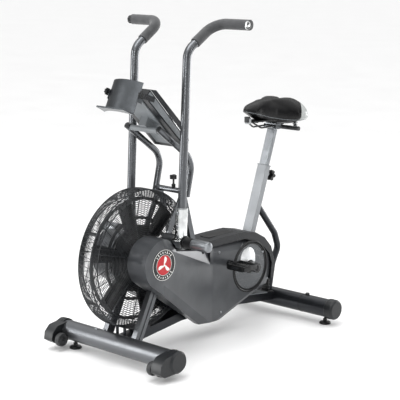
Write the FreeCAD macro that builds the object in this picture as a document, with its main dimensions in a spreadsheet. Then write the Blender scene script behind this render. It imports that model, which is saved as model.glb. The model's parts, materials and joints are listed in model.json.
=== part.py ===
"""Air bike: welded tube frame, caged fan wheel driven by the pedals, swinging handles, sprung saddle.

Millimetres. The front of the machine faces -Y, +X is the rider's left, +Z is up, and the
origin is on the floor below the middle of the whole machine.
"""
import FreeCAD, Part
import math
import os
import re
from types import SimpleNamespace

SIZES = {
    # stabilizer tubes across the machine
    "stab_front_y": -432.0, "stab_rear_y": 495.0, "stab_axis_z": 68.0, "stab_radius": 38.0,
    "stab_wall": 2.5, "stab_front_half": 285.0, "stab_rear_half": 300.0,
    "cap_radius": 42.0, "cap_depth": 40.0, "cap_plug": 12.0, "cap_housing_x": 270.0,
    "cap_housing_width": 48.0,
    # transport wheels and levelling feet
    "wheel_y": -494.0, "wheel_z": 46.0, "wheel_radius": 27.0, "wheel_width": 22.0,
    "wheel_x": 251.0, "wheel_pin_radius": 4.0, "wheel_pin_length": 72.0, "run_gap": 0.05,
    "foot_radius": 24.0, "foot_height": 10.0, "foot_stem_radius": 5.0, "foot_stem_height": 32.0,
    "foot_nut_radius": 9.0, "foot_nut_height": 7.0, "foot_front_x": 238.0, "foot_rear_x": 281.0,
    # beam along the floor
    "beam_width": 56.0, "beam_depth": 34.0, "beam_wall": 2.5, "beam_crown_z": 129.0, "beam_front_z": 90.0,
    "beam_rear_z": 93.0, "beam_knee_front_y": -108.0, "beam_knee_rear_y": 172.0,
    "tread_width": 68.0, "tread_thick": 4.0, "tread_rib": 2.0, "tread_pitch": 12.0,
    # lever pivot, front struts and pegs
    "pivot_y": -227.0, "pivot_z": 452.0, "pivot_hub_radius": 24.0, "pivot_hub_start": 56.0,
    "pivot_hub_length": 57.0, "shaft_radius": 10.0, "shaft_length": 215.0,
    "strut_x": 78.0, "strut_thick": 24.0, "strut_width": 38.0, "strut_groove": 6.0,
    "peg_radius": 21.0, "peg_start": 161.0, "peg_length": 124.0, "peg_dome": 8.0,
    "bush_radius": 13.0, "bush_start": 114.0, "bush_length": 46.0,
    # swinging handles
    "lever_x": 137.0, "lever_hub_radius": 27.0, "lever_hub_length": 42.0, "socket_radius": 23.0,
    "socket_top_z": 582.0, "handle_radius": 16.0, "handle_wall": 2.0, "handle_low_z": 492.0,
    "handle_knee_y": -189.0, "handle_knee_z": 1166.0, "handle_elbow_x": 142.0,
    "handle_elbow_y": -44.0, "handle_elbow_z": 1260.0, "handle_end_x": 304.0,
    "handle_end_y": -33.0, "handle_bend": 62.0, "grip_radius": 20.0, "grip_start_y": -148.0,
    "grip_end_wall": 4.0,
    # fan and its cage
    "fan_y": -327.0, "fan_z": 384.0, "fan_axle_radius": 8.0, "fan_axle_half": 92.0,
    "fan_hub_radius": 34.0, "fan_hub_half": 30.0, "fan_disc_radius": 128.0, "fan_disc_thick": 4.0,
    "fan_tip_radius": 236.0, "fan_rim_width": 12.0, "fan_spoke_width": 44.0, "fan_paddle_half": 24.0,
    "fan_pulley_radius": 17.5, "cage_room": 2.0, "cage_room_half": 46.0, "cage_radius": 268.0, "cage_half": 34.0, "cage_wire": 3.0,
    "cage_face_x": 39.0, "cage_ring_pitch": 18.6, "cage_eye_radius": 60.0,
    # drive
    "crank_y": 263.0, "crank_z": 252.0, "shell_radius": 24.0, "shell_half": 33.0,
    "axle_radius": 10.0, "axle_half": 96.0, "bearing_radius": 17.0, "bearing_width": 12.0,
    "fan_bearing_radius": 14.0, "belt_x": 47.0, "belt_width": 6.0, "belt_thick": 3.0,
    "belt_gap": 0.3, "pulley_radius": 62.0, "pulley_hub_radius": 20.0, "pulley_hub_start": 36.0,
    "pulley_window_radius": 12.0, "pulley_window_place": 41.0,
    "disc_radius": 100.0, "disc_thick": 4.0, "disc_start": 59.5, "disc_window_radius": 20.0,
    "disc_window_place": 56.0,
    "crank_length": 170.0, "crank_angle": 16.0, "arm_start": 92.0, "arm_thick": 14.0,
    "arm_hub_radius": 20.0, "arm_tip_radius": 15.0, "arm_hub_start": 65.5,
    "spindle_radius": 7.0, "spindle_length": 112.0, "pedal_start": 113.0, "pedal_width": 94.0,
    "pedal_depth": 84.0, "pedal_thick": 24.0, "pedal_corner": 10.0, "pedal_tooth": 3.0,
    # shroud shells
    "shroud_wall": 3.5, "drum_y": -327.0, "drum_z": 381.0, "drum_radius": 96.0, "drum_face_x": 145.0,
    "shroud_cage_gap_x": 50.0, "shroud_seam_x": 36.0, "shroud_rear_x": 65.0, "shroud_crease_y": 33.0,
    "opening_radius": 104.0, "cover_half": 61.0, "cover_thick": 4.0, "cover_crown_z": 402.0,
    "badge_radius": 60.0, "badge_thick": 1.5, "screw_radius": 5.0, "screw_height": 3.0,
    # seat
    "seat_lean": 19.5, "seat_tube_top_y": 425.0, "seat_tube_top_z": 650.0, "seat_tube_length": 410.0,
    "seat_tube_width": 46.0, "seat_tube_depth": 28.0, "seat_tube_wall": 2.5,
    "guide_length": 40.0, "slide_gap": 0.4, "post_width": 38.0, "post_depth": 20.0,
    "post_wall": 2.0, "post_length": 400.0, "post_show": 152.0, "post_hole_radius": 5.0,
    "post_hole_pitch": 25.0, "pin_drop": 34.0, "pin_radius": 4.0, "pin_collar_radius": 11.0,
    "pin_collar_length": 20.0, "pin_travel": 12.0, "pin_knob_radius": 24.0, "pin_knob_thick": 18.0,
    "clamp_width": 60.0, "clamp_depth": 34.0, "clamp_height": 24.0, "rail_radius": 3.5,
    "rail_half": 22.0, "rail_z": 811.0, "saddle_low_z": 838.0, "saddle_mid_z": 880.0,
    "saddle_top_z": 924.0, "saddle_nose_y": 292.0, "saddle_rear_y": 595.0,
    "saddle_half_width": 128.0, "spring_bar_radius": 9.0, "spring_bar_half": 92.0,
    "brace_radius": 14.0, "brace_wall": 2.0, "brace_bend": 42.0,
    # console and its mast
    "mast_x": 84.0, "mast_radius": 12.5, "mast_wall": 2.0, "mast_bend": 75.0, "mast_low_y": -138.0,
    "mast_low_z": 606.0, "mast_knee_y": -105.0, "mast_knee_z": 743.0, "mast_top_y": -288.0,
    "mast_top_z": 881.0, "crossbar_radius": 11.0, "stay_x": 62.0, "stay_thick": 6.0,
    "stay_width": 24.0, "crossbar_low_y": -135.0, "crossbar_low_z": 622.0,
    "crossbar_high_y": -276.0, "crossbar_high_z": 872.0, "base_plate_y": -66.0, "base_plate_z": 394.0,
    "base_plate_depth": 74.0, "base_plate_thick": 5.0, "post_square": 30.0, "centre_post_y": -36.0,
    "console_half": 86.0, "console_slope": 45.0, "console_low_y": -142.0, "console_low_z": 792.0,
    "console_length": 300.0, "console_depth": 56.0, "display_half": 62.0,
    "button_radius": 9.0, "button_height": 4.0, "button_travel": 1.5, "button_spacing": 60.0,
    "holder_y": -381.0, "holder_z": 1015.0, "holder_half": 78.0, "holder_bulge": 25.0,
    "holder_wall": 4.0, "holder_height": 125.0, "holder_lean": 25.7, "holder_pin_radius": 4.0,
    "holder_knob_radius": 10.0, "mast_knob_x": 12.0, "mast_knob_radius": 15.0,
}
D = SimpleNamespace(**SIZES)
SIDES = (("left", 1), ("right", -1))
V = FreeCAD.Vector
ACROSS, ALONG, UP = V(1, 0, 0), V(0, 1, 0), V(0, 0, 1)

doc = FreeCAD.newDocument("air_bike")
sheet = doc.addObject("Spreadsheet::Sheet", "Dimensions")
for row, (word, number) in enumerate(SIZES.items(), start=1):
    sheet.set(f"A{row}", word)
    sheet.set(f"B{row}", str(number))
    sheet.setAlias(f"B{row}", word)
doc.recompute()

nodes = {}


# ---------------------------------------------------------------- helpers

def bind(thing, prop, formula):
    """Tie a property to the sheet; words in the formula that are sizes become sheet references."""
    tied = re.sub(r"[a-z_]+", lambda m: "Dimensions." + m[0] if m[0] in SIZES else m[0], formula)
    thing.setExpression(prop, tied)


def node(label, thing):
    """Register a finished sub-part under the name of its file."""
    thing.Label = label
    nodes[label] = thing
    return thing


def aim(thing, start, direction):
    """Place a primitive so that its own Z runs from start along direction."""
    thing.Placement = FreeCAD.Placement(start, FreeCAD.Rotation(UP, direction))
    return thing


def rod(label, radius, length, start, direction=ACROSS):
    thing = doc.addObject("Part::Cylinder", label)
    bind(thing, "Radius", radius)
    bind(thing, "Height", length)
    return aim(thing, start, direction)


def cone(label, low, high, length, start, direction=ACROSS):
    thing = doc.addObject("Part::Cone", label)
    bind(thing, "Radius1", low)
    bind(thing, "Radius2", high)
    bind(thing, "Height", length)
    return aim(thing, start, direction)


def block(label, sizes, centre, lean=0.0):
    """A box of three bound sizes about a centre, leaned back about X by lean degrees."""
    thing = doc.addObject("Part::Box", label)
    for prop, size in zip(("Length", "Width", "Height"), sizes):
        bind(thing, prop, size)
    doc.recompute()
    turn = FreeCAD.Rotation(ACROSS, -lean)
    half = V(thing.Length.Value / 2, thing.Width.Value / 2, thing.Height.Value / 2)
    thing.Placement = FreeCAD.Placement(centre - turn.multVec(half), turn)
    return thing


def cut(label, base, tool):
    thing = doc.addObject("Part::Cut", label)
    thing.Base, thing.Tool = base, tool
    return thing


def common(label, *things):
    thing = doc.addObject("Part::MultiCommon", label)
    thing.Shapes = list(things)
    return thing


def fuse(label, *things):
    thing = doc.addObject("Part::MultiFuse", label)
    thing.Shapes = list(things)
    return thing


def group(label, *things):
    """Several separate solids in one sub-part."""
    thing = doc.addObject("Part::Compound", label)
    thing.Links = list(things)
    return thing


def ring(label, outer, inner, length, start, direction=ACROSS):
    return cut(label, rod(label + "_outer", outer, length, start, direction),
               rod(label + "_bore", inner, length, start, direction))


def mirrored(label, thing):
    """The same piece on the other side of the machine."""
    other = doc.addObject("Part::Mirroring", label)
    other.Source = thing
    other.Normal = ACROSS
    return other


def outline(label, holder, plane, shapes):
    """A closed sketch on one of the holder's own planes; points are joined by straight edges."""
    sketch = holder.newObject("Sketcher::SketchObject", label)
    own = next(f for f in holder.Origin.OriginFeatures if f.Role == plane)
    sketch.AttachmentSupport = [(own, "")]
    sketch.MapMode = "FlatFace"
    sketch.addGeometry(shapes, False)
    return sketch


def edges(points):
    """Straight edges through the points and back to the first one."""
    flat = [V(a, b, 0) for a, b in points]
    return [Part.LineSegment(a, b) for a, b in zip(flat, flat[1:] + flat[:1])]


def slab(label, plane, shapes, thickness, offset=0.0):
    """A padded outline, thickness shared equally to both sides of the plane moved by offset."""
    body = doc.addObject("PartDesign::Body", label)
    sketch = outline(label + "_outline", body, plane, shapes)
    pad = body.newObject("PartDesign::Pad", label + "_pad")
    pad.Profile = sketch
    pad.SideType = "Symmetric"
    bind(pad, "Length", thickness)
    normal = {"YZ_Plane": ACROSS, "XY_Plane": UP, "XZ_Plane": ALONG}[plane]
    body.Placement = FreeCAD.Placement(normal * offset, FreeCAD.Rotation())
    return body


def path_edges(corners, bend):
    """Straight runs joined by tangent arcs of one bend radius."""
    pieces, start = [], corners[0]
    for corner, after in zip(corners[1:-1], corners[2:]):
        into, out = (corner - start).normalize(), (after - corner).normalize()
        half_turn = into.getAngle(out) / 2
        reach = bend * math.tan(half_turn)
        first, last = corner - into * reach, corner + out * reach
        inward = (out - into).normalize()
        middle = corner + inward * (bend / math.cos(half_turn) - bend)
        pieces += [Part.LineSegment(start, first).toShape(), Part.Arc(first, middle, last).toShape()]
        start = last
    return pieces + [Part.LineSegment(start, corners[-1]).toShape()]


def bent(label, corners, bend, radius, inner=None):
    """A round tube along a bent path; inner is the formula of its bore, if it has one."""
    spine = doc.addObject("Part::Feature", label + "_path")
    spine.Shape = Part.Wire(path_edges(corners, bend))
    swept = []
    for part_name, formula in (("outer", radius), ("bore", inner)):
        if formula is None:
            continue
        circle = doc.addObject("Part::Circle", f"{label}_{part_name}_circle")
        bind(circle, "Radius", formula)
        aim(circle, corners[0], corners[1] - corners[0])
        sweep = doc.addObject("Part::Sweep", f"{label}_{part_name}")
        sweep.Sections = [circle]
        sweep.Spine = (spine, [f"Edge{i + 1}" for i in range(len(spine.Shape.Edges))])
        sweep.Solid = True
        swept.append(sweep)
    return cut(label, *swept) if inner else swept[0]


def circle_points(centre_y, centre_z, radius, start, end, count):
    """Points on an arc in the side view, angles in degrees from +Y towards +Z."""
    steps = [math.radians(start + (end - start) * i / (count - 1)) for i in range(count)]
    return [(centre_y + radius * math.cos(a), centre_z + radius * math.sin(a)) for a in steps]


def inset(points, wall):
    """The same closed outline moved inwards by the wall."""
    wire = Part.makePolygon([V(a, b, 0) for a, b in points + points[:1]])
    inner = wire.makeOffset2D(-wall, 2)
    return [(v.Point.x, v.Point.y) for v in inner.OrderedVertexes]


def side(y, z, x=0.0):
    return V(x, y, z)


# ---------------------------------------------------------------- floor frame

FRONT = side(D.stab_front_y, D.stab_axis_z)
REAR = side(D.stab_rear_y, D.stab_axis_z)


def cross_tube(label, axis_point, half, foot_x):
    start = axis_point - ACROSS * getattr(D, half)
    tube = ring(label + "_tube", "stab_radius", "stab_radius - stab_wall", f"2 * {half}", start)
    holes = [rod(f"{label}_hole_{name}", "foot_stem_radius + run_gap", "stab_axis_z",
                 V(sign * foot_x, axis_point.y, 0), UP) for name, sign in SIDES]
    return node(label, cut(label, tube, fuse(label + "_holes", *holes)))


def stabilizer_tool(label, axis_point):
    """A solid bar as thick as a stabilizer, which shapes the ends that are welded to it."""
    return rod(label, "stab_radius", "2 * stab_front_half", axis_point - ACROSS * D.stab_front_half)


def end_cap(label, axis_point, half):
    end = axis_point + ACROSS * getattr(D, half)
    return fuse(label, rod(label + "_skirt", "cap_radius", "cap_depth - cap_radius / 6", end),
                cone(label + "_face", "cap_radius", "cap_radius * 0.85", "cap_radius / 6",
                     end + ACROSS * (D.cap_depth - D.cap_radius / 6)),
                rod(label + "_plug", "stab_radius - stab_wall", "cap_plug", end - ACROSS * D.cap_plug))


def front_cap():
    low, top = D.stab_axis_z - D.cap_radius + 2, D.stab_axis_z + D.cap_radius - 4
    nose = D.wheel_y - D.wheel_radius
    housing = slab("cap_housing", "YZ_Plane", edges(
        [(D.stab_front_y, low), (nose + 20, low - 2), (nose - 4, low + 14), (nose, top - 34),
         (nose + 24, top - 10), (D.stab_front_y, top)]),
        "cap_housing_width", D.cap_housing_x + D.cap_housing_width / 2)
    pin_start = V(D.wheel_x - D.wheel_width / 2 - 6, D.wheel_y, D.wheel_z)
    around = cut("cap_housing_cut", housing, stabilizer_tool("cap_housing_tool", FRONT))
    solid = fuse("front_cap_solid", end_cap("front_cap_plain", FRONT, "stab_front_half"), around)
    pin_hole = rod("front_cap_pin_hole", "wheel_pin_radius", "wheel_pin_length", pin_start)
    pin = rod("front_cap_pin", "wheel_pin_radius", "wheel_pin_length", pin_start)
    return group("front_cap_with_pin", cut("front_cap_bored", solid, pin_hole), pin)


def wheel(label, sign):
    start = V(sign * D.wheel_x - D.wheel_width / 2, D.wheel_y, D.wheel_z)
    return node(label, ring(label, "wheel_radius", "wheel_pin_radius + run_gap", "wheel_width", start))


def foot(label, x, y):
    base = V(x, y, 0)
    return node(label, fuse(label, rod(label + "_pad", "foot_radius", "foot_height", base, UP),
                            rod(label + "_stem", "foot_stem_radius", "foot_stem_height + foot_height",
                                base, UP),
                            rod(label + "_nut", "foot_nut_radius", "foot_nut_height",
                                base + UP * (D.foot_height + 6), UP)))


cross_tube("front_stabilizer", FRONT, "stab_front_half", D.foot_front_x)
cross_tube("rear_stabilizer", REAR, "stab_rear_half", D.foot_rear_x)
cap_left = front_cap()
node("front_caps", group("front_caps", cap_left, mirrored("front_cap_right", cap_left)))
rear_cap = end_cap("rear_cap_left", REAR, "stab_rear_half")
node("rear_caps", group("rear_caps", rear_cap, mirrored("rear_cap_right", rear_cap)))
for name, sign in SIDES:
    wheel(f"transport_wheel_{name}", sign)
    foot(f"front_foot_{name}", sign * D.foot_front_x, D.stab_front_y)
    foot(f"rear_foot_{name}", sign * D.foot_rear_x, D.stab_rear_y)


def main_beam():
    top = [(D.stab_front_y, D.beam_front_z), (D.beam_knee_front_y, D.beam_crown_z),
           (D.beam_knee_rear_y, D.beam_crown_z), (D.stab_rear_y, D.beam_rear_z)]
    low = [(y, z - D.beam_depth) for y, z in reversed(top)]
    bar = slab("beam_bar", "YZ_Plane", edges(top + low), "beam_width")
    bore = slab("beam_bore", "YZ_Plane", edges(inset(top + low, D.beam_wall)),
                "beam_width - 2 * beam_wall")
    beam = cut("beam", bar, bore)
    pad = block("cage_saddle_block", ("beam_width", "60", "24"), side(D.fan_y + 14, 112))
    round_seat = rod("cage_saddle_seat", "cage_radius + belt_gap", "beam_width",
                     V(-D.beam_width / 2, D.fan_y, D.fan_z))
    posts = [rod(f"cage_post_{name}", "6", "40", V(sign * 20, D.stab_front_y + 20, 92), UP)
             for name, sign in SIDES]
    solid = cut("beam_seated", fuse("beam_with_seat", beam, pad, *posts), round_seat)
    ends = fuse("beam_end_tools", stabilizer_tool("beam_front_tool", FRONT),
                stabilizer_tool("beam_rear_tool", REAR))
    return node("main_beam", cut("main_beam", solid, ends))


def beam_height(y):
    """Top of the beam behind its rear knee."""
    share = (y - D.beam_knee_rear_y) / (D.stab_rear_y - D.beam_knee_rear_y)
    return D.beam_crown_z + share * (D.beam_rear_z - D.beam_crown_z)


def tread_plate():
    start, end = D.beam_knee_rear_y + 112, D.stab_rear_y - 70
    ribs = []
    y = start
    while y + D.tread_pitch <= end:
        z = beam_height(y) + D.tread_thick
        ribs += [(y, z), (y + D.tread_pitch * 0.6, z), (y + D.tread_pitch * 0.6, z - D.tread_rib)]
        y += D.tread_pitch
        ribs.append((y, beam_height(y) + D.tread_thick - D.tread_rib))
    ends = [(ribs[-1][0], beam_height(ribs[-1][0])), (start, beam_height(start))]
    return node("tread_plate", slab("tread_plate", "YZ_Plane", edges(ribs + ends), "tread_width"))


main_beam()
tread_plate()


# ---------------------------------------------------------------- struts and lever pivot

PIVOT = side(D.pivot_y, D.pivot_z)
FAN = side(D.fan_y, D.fan_z)
CRANK = side(D.crank_y, D.crank_z)
STRUT_FOOT = side(D.stab_front_y + 12, D.stab_axis_z)


def strip(start, end, width):
    """Corners in the side view of a straight bar of a width between two points."""
    run = (end - start).normalize()
    across = V(0, -run.z, run.y) * (width / 2)
    return [(p.y, p.z) for p in (start + across, end + across, end - across, start - across)]


def strut_bar(label, thickness, width):
    return slab(label, "YZ_Plane", edges(strip(STRUT_FOOT, PIVOT, width)), thickness, D.strut_x)


def strut(hub_start):
    bar = strut_bar("strut_bar", "strut_thick", D.strut_width)
    groove = slab("strut_groove", "YZ_Plane", edges(strip(STRUT_FOOT, PIVOT, D.strut_groove)), "strut_groove",
                  D.strut_x + D.strut_thick / 2)
    hub = rod("strut_hub", "pivot_hub_radius", "pivot_hub_length", hub_start)
    plate_x = D.strut_x - D.strut_thick / 2 - 3
    plate = slab("fan_bracket_plate", "YZ_Plane", edges(
        [(D.fan_y - 20, D.fan_z + 12), (D.fan_y - 6, D.fan_z + 22), (D.fan_y + 55, D.fan_z + 8),
         (D.fan_y + 38, D.fan_z - 40), (D.fan_y - 10, D.fan_z - 22), (D.fan_y - 22, D.fan_z - 10)]),
        "6", plate_x)
    bores = fuse("strut_bores", rod("strut_shaft_bore", "shaft_radius", "pivot_hub_length", hub_start),
                 rod("strut_bearing_bore", "fan_bearing_radius", "6", FAN + ACROSS * (plate_x - 3)),
                 stabilizer_tool("strut_front_tool", FRONT))
    grooved = cut("strut_grooved", bar, groove)
    return cut("strut_solid", fuse("strut_with_hub", grooved, hub, plate), bores)


def lever_shaft(hub_start):
    bar = rod("lever_shaft_bar", "shaft_radius", "shaft_length", hub_start)
    bush = rod("lever_shaft_bush", "bush_radius", "bush_length", PIVOT + ACROSS * D.bush_start)
    return fuse("lever_shaft_solid", bar, bush)


def foot_peg():
    start = PIVOT + ACROSS * D.peg_start
    barrel = rod("peg_barrel", "peg_radius", "peg_length - peg_dome", start)
    dome = cone("peg_dome_end", "peg_radius", "peg_radius * 0.7", "peg_dome",
                start + ACROSS * (D.peg_length - D.peg_dome))
    bore_length = "pivot_hub_start + shaft_length - peg_start"
    bore = rod("peg_bore", "shaft_radius", bore_length, start)
    return cut("peg_solid", fuse("peg_whole", barrel, dome), bore)


hub_point = PIVOT + ACROSS * D.pivot_hub_start
for label, piece in (("front_struts", strut(hub_point)), ("lever_shafts", lever_shaft(hub_point)),
                     ("foot_pegs", foot_peg())):
    node(label, group(label, piece, mirrored(label + "_right", piece)))


# ---------------------------------------------------------------- swinging handles

def lever_line(z, x=0.0):
    """Point of the straight lower handle at a height."""
    share = (z - D.pivot_z) / (D.handle_knee_z - D.pivot_z)
    return V(x, D.pivot_y + share * (D.handle_knee_y - D.pivot_y), z)


def handle_corners(sign):
    knee = V(sign * D.lever_x, D.handle_knee_y, D.handle_knee_z)
    elbow = V(sign * D.handle_elbow_x, D.handle_elbow_y, D.handle_elbow_z)
    end = V(sign * D.handle_end_x, D.handle_end_y, D.handle_elbow_z)
    return [lever_line(D.handle_low_z, sign * D.lever_x), knee, elbow, end]


def lever(name, sign):
    foot_point = lever_line(D.pivot_z, sign * D.lever_x)
    rise = (lever_line(D.socket_top_z) - lever_line(D.pivot_z)).normalize()
    hub_start = foot_point - ACROSS * (D.lever_hub_length / 2)
    hub = rod(f"lever_hub_{name}", "lever_hub_radius", "lever_hub_length", hub_start)
    sleeve = rod(f"lever_sleeve_{name}", "socket_radius", "socket_top_z - pivot_z", foot_point, rise)
    corners = handle_corners(sign)
    low_end = rod(f"lever_seat_{name}", "handle_radius", "socket_top_z - handle_low_z + 8",
                  corners[0], rise)
    bore = rod(f"lever_bore_{name}", "bush_radius + run_gap", "lever_hub_length + 8",
               hub_start - ACROSS * 4)
    node(f"lever_socket_{name}", cut(f"lever_socket_{name}", fuse(f"lever_whole_{name}", hub, sleeve),
                                     fuse(f"lever_hollow_{name}", low_end, bore)))
    node(f"handle_tube_{name}", bent(f"handle_tube_{name}", corners, D.handle_bend, "handle_radius",
                                     "handle_radius - handle_wall"))
    knee, elbow, end = corners[1:]
    share = (D.grip_start_y - knee.y) / (elbow.y - knee.y)
    grip_start = knee + (elbow - knee) * share
    outward = ACROSS * sign
    grip_path = [grip_start, elbow, end + outward * D.grip_end_wall]
    foam = bent(f"grip_foam_{name}", grip_path, D.handle_bend, "grip_radius")
    core = bent(f"grip_core_{name}", [grip_start, elbow, end], D.handle_bend, "handle_radius")
    node(f"grip_{name}", cut(f"grip_{name}", foam, core))


for name, sign in SIDES:
    lever(name, sign)


# ---------------------------------------------------------------- fan and cage

def turned(label, thing, centre, angle):
    """A copy of a piece turned about an axis across the machine, the angle seen from +X."""
    copy = doc.addObject("Part::Compound", label)
    copy.Links = [thing]
    turn = FreeCAD.Rotation(ACROSS, angle)
    copy.Placement = FreeCAD.Placement(centre - turn.multVec(centre), turn)
    return copy


def fan_wheel():
    hub = rod("fan_hub", "fan_hub_radius", "2 * fan_hub_half", FAN - ACROSS * D.fan_hub_half)
    disc = rod("fan_disc", "fan_disc_radius", "fan_disc_thick", FAN - ACROSS * (D.fan_disc_thick / 2))
    rim = ring("fan_rim", "fan_tip_radius", "fan_tip_radius - fan_rim_width", "fan_disc_thick",
               FAN - ACROSS * (D.fan_disc_thick / 2))
    middle = (D.fan_disc_radius + D.fan_tip_radius) / 2 - 8
    spoke = block("fan_spoke", ("fan_disc_thick", "fan_spoke_width",
                                "fan_tip_radius - fan_disc_radius + 8"), FAN + UP * middle)
    paddle = block("fan_paddle", ("2 * fan_paddle_half", "fan_disc_thick",
                                  "fan_tip_radius - fan_disc_radius - 6"),
                   FAN + UP * (middle - 4) + ALONG * (D.fan_spoke_width / 2 - D.fan_disc_thick / 2))
    blade = fuse("fan_blade", spoke, paddle)
    blades = [turned(f"fan_blade_{i}", blade, FAN, 16 + 60 * i) for i in range(6)]
    bore = rod("fan_bore", "fan_axle_radius", "2 * fan_hub_half", FAN - ACROSS * D.fan_hub_half)
    return node("fan_wheel", cut("fan_wheel", fuse("fan_whole", hub, disc, rim, *blades), bore))


def grille():
    """One wire face: rings of square wire on twelve radial bars, with a flat ring round the edge."""
    x = D.cage_face_x
    edge = ring("cage_edge", "cage_radius - 6", "cage_radius - 22", "4", FAN + ACROSS * D.cage_half)
    count = int((D.cage_radius - 22 - D.cage_eye_radius) / D.cage_ring_pitch) + 1
    wires = [ring(f"cage_wire_{i}", f"cage_eye_radius + {i} * cage_ring_pitch",
                  f"cage_eye_radius + {i} * cage_ring_pitch - cage_wire", "cage_wire",
                  FAN + ACROSS * x) for i in range(count)]
    reach = D.cage_radius - 20 - (D.cage_eye_radius - 3)
    bar = block("cage_bar", ("cage_wire", "cage_wire", "cage_radius - 20 - cage_eye_radius + 3"),
                FAN + ACROSS * (x - 0.5) + UP * (D.cage_eye_radius - 3 + reach / 2))
    bars = [turned(f"cage_bar_{i}", bar, FAN, 15 + 30 * i) for i in range(12)]
    return fuse("grille_solid", edge, *wires, *bars)


def cage_rim():
    hoops = [ring(f"hoop_{i}", "cage_radius", "cage_radius - cage_wire", "cage_wire",
                  FAN + ACROSS * (-D.cage_half + i * (2 * D.cage_half - D.cage_wire) / 4))
             for i in range(5)]
    bar = block("rim_bar", ("2 * cage_half", "cage_wire", "cage_wire"),
                FAN + UP * (D.cage_radius - D.cage_wire - 0.5))
    bars = [turned(f"rim_bar_{i}", bar, FAN, 10 * i) for i in range(36)]
    return node("cage_rim", fuse("cage_rim", *hoops, *bars))


fan_wheel()
face = grille()
node("cage_faces", group("cage_faces", face, mirrored("cage_face_right", face)))
cage_rim()
node("fan_axle", rod("fan_axle", "fan_axle_radius", "2 * fan_axle_half",
                     FAN - ACROSS * D.fan_axle_half))
node("fan_pulley", ring("fan_pulley", "fan_pulley_radius", "fan_axle_radius", "belt_width",
                        FAN + ACROSS * (D.belt_x - D.belt_width / 2)))


# ---------------------------------------------------------------- crank, belt and pedals

def bearings():
    crank_x = D.shell_half - D.bearing_width
    fan_x = D.strut_x - D.strut_thick / 2 - 6
    crank_side = ring("crank_bearing", "bearing_radius", "axle_radius + run_gap", "bearing_width",
                      CRANK + ACROSS * crank_x)
    fan_side = ring("fan_bearing", "fan_bearing_radius", "fan_axle_radius + run_gap", "6",
                    FAN + ACROSS * fan_x)
    pair = group("bearing_pair", crank_side, fan_side)
    return node("bearings", group("bearings", pair, mirrored("bearing_pair_right", pair)))


def crank_support():
    shell = rod("shell_bar", "shell_radius", "2 * shell_half", CRANK - ACROSS * D.shell_half)
    front, rear = D.crank_y - 18, D.crank_y + 18
    post = slab("shell_post", "YZ_Plane", edges(
        [(front, beam_height(front)), (rear, beam_height(rear)), (rear, D.crank_z), (front, D.crank_z)]),
        "40")
    bore = rod("shell_bore", "bearing_radius", "2 * shell_half", CRANK - ACROSS * D.shell_half)
    return node("crank_support", cut("crank_support", fuse("shell_and_post", shell, post), bore))


def drive_pulley():
    disc = rod("pulley_disc", "pulley_radius", "belt_width", CRANK + ACROSS * (D.belt_x - D.belt_width / 2))
    hub = rod("pulley_hub", "pulley_hub_radius", "22", CRANK + ACROSS * D.pulley_hub_start)
    window = rod("pulley_window", "pulley_window_radius", "40",
                 CRANK + ACROSS * D.pulley_hub_start + UP * D.pulley_window_place)
    windows = [turned(f"pulley_window_{i}", window, CRANK, 20 + 72 * i) for i in range(5)]
    bore = rod("pulley_bore", "axle_radius", "40", CRANK + ACROSS * D.pulley_hub_start)
    return node("drive_pulley", cut("drive_pulley", fuse("pulley_whole", disc, hub),
                                    fuse("pulley_openings", bore, *windows)))


def crank_disc():
    start = CRANK + ACROSS * D.disc_start
    disc = rod("crank_disc", "disc_radius", "disc_thick", start)
    window = rod("crank_disc_window", "disc_window_radius", "disc_thick",
                 start + UP * D.disc_window_place)
    leaned = turned("crank_disc_window_set", window, CRANK, 20)
    bore = rod("crank_disc_bore", "axle_radius", "disc_thick", start)
    return cut("crank_disc_solid", disc, fuse("crank_disc_openings", leaned, bore))


def arm_tip(radius_out):
    angle = math.radians(180 - D.crank_angle)
    return CRANK + V(0, math.cos(angle), math.sin(angle)) * radius_out


def crank_arm():
    tip = arm_tip(D.crank_length)
    start = ACROSS * D.arm_start
    web = slab("arm_web", "YZ_Plane", edges(strip(CRANK, tip, 26)), "arm_thick",
               D.arm_start + D.arm_thick / 2)
    hub = rod("arm_hub", "arm_hub_radius", "arm_start + arm_thick - arm_hub_start",
              CRANK + ACROSS * D.arm_hub_start)
    eye = rod("arm_eye", "arm_tip_radius", "arm_thick", tip + start)
    bores = fuse("arm_bores", rod("arm_spindle_bore", "spindle_radius", "arm_thick", tip + start),
                 rod("arm_axle_bore", "axle_radius", "axle_half - arm_hub_start",
                     CRANK + ACROSS * D.arm_hub_start))
    return cut("arm_solid", fuse("arm_whole", web, hub, eye), bores)


def pedal():
    """A flat pedal with toothed front and rear edges and two openings beside the spindle."""
    tip = arm_tip(D.crank_length)
    middle = D.pedal_start + D.pedal_width / 2
    half, depth, corner = D.pedal_width / 2, D.pedal_depth / 2, D.pedal_corner
    front = []
    teeth = 6
    pitch = (D.pedal_width - 2 * corner) / teeth
    for i in range(teeth):
        x = -half + corner + i * pitch
        front += [(x, -depth), (x + pitch * 0.5, -depth - D.pedal_tooth)]
    front.append((half - corner, -depth))
    rear = [(-x, -y) for x, y in front]
    ends = [(half, -depth + corner), (half, depth - corner)]
    shape = front + ends + rear + [(-x, -y) for x, y in ends]
    plan = [(middle + x, tip.y + y) for x, y in shape]
    body = slab("pedal_block", "XY_Plane", edges(plan), "pedal_thick", tip.z)
    bore = rod("pedal_bore", "spindle_radius + run_gap", "pedal_width",
               tip + ACROSS * D.pedal_start)
    slots = [block(f"pedal_slot_{name}", ("pedal_width - 30", "20", "pedal_thick"),
                   V(middle, tip.y + sign * 24, tip.z)) for name, sign in SIDES]
    return cut("pedal_solid", body, fuse("pedal_openings", bore, *slots))


def opposite(label, thing):
    """The same piece half a turn round the crank axle, on the right side."""
    flat = mirrored(label + "_mirror", thing)
    return turned(label, flat, CRANK, 180)


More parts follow.
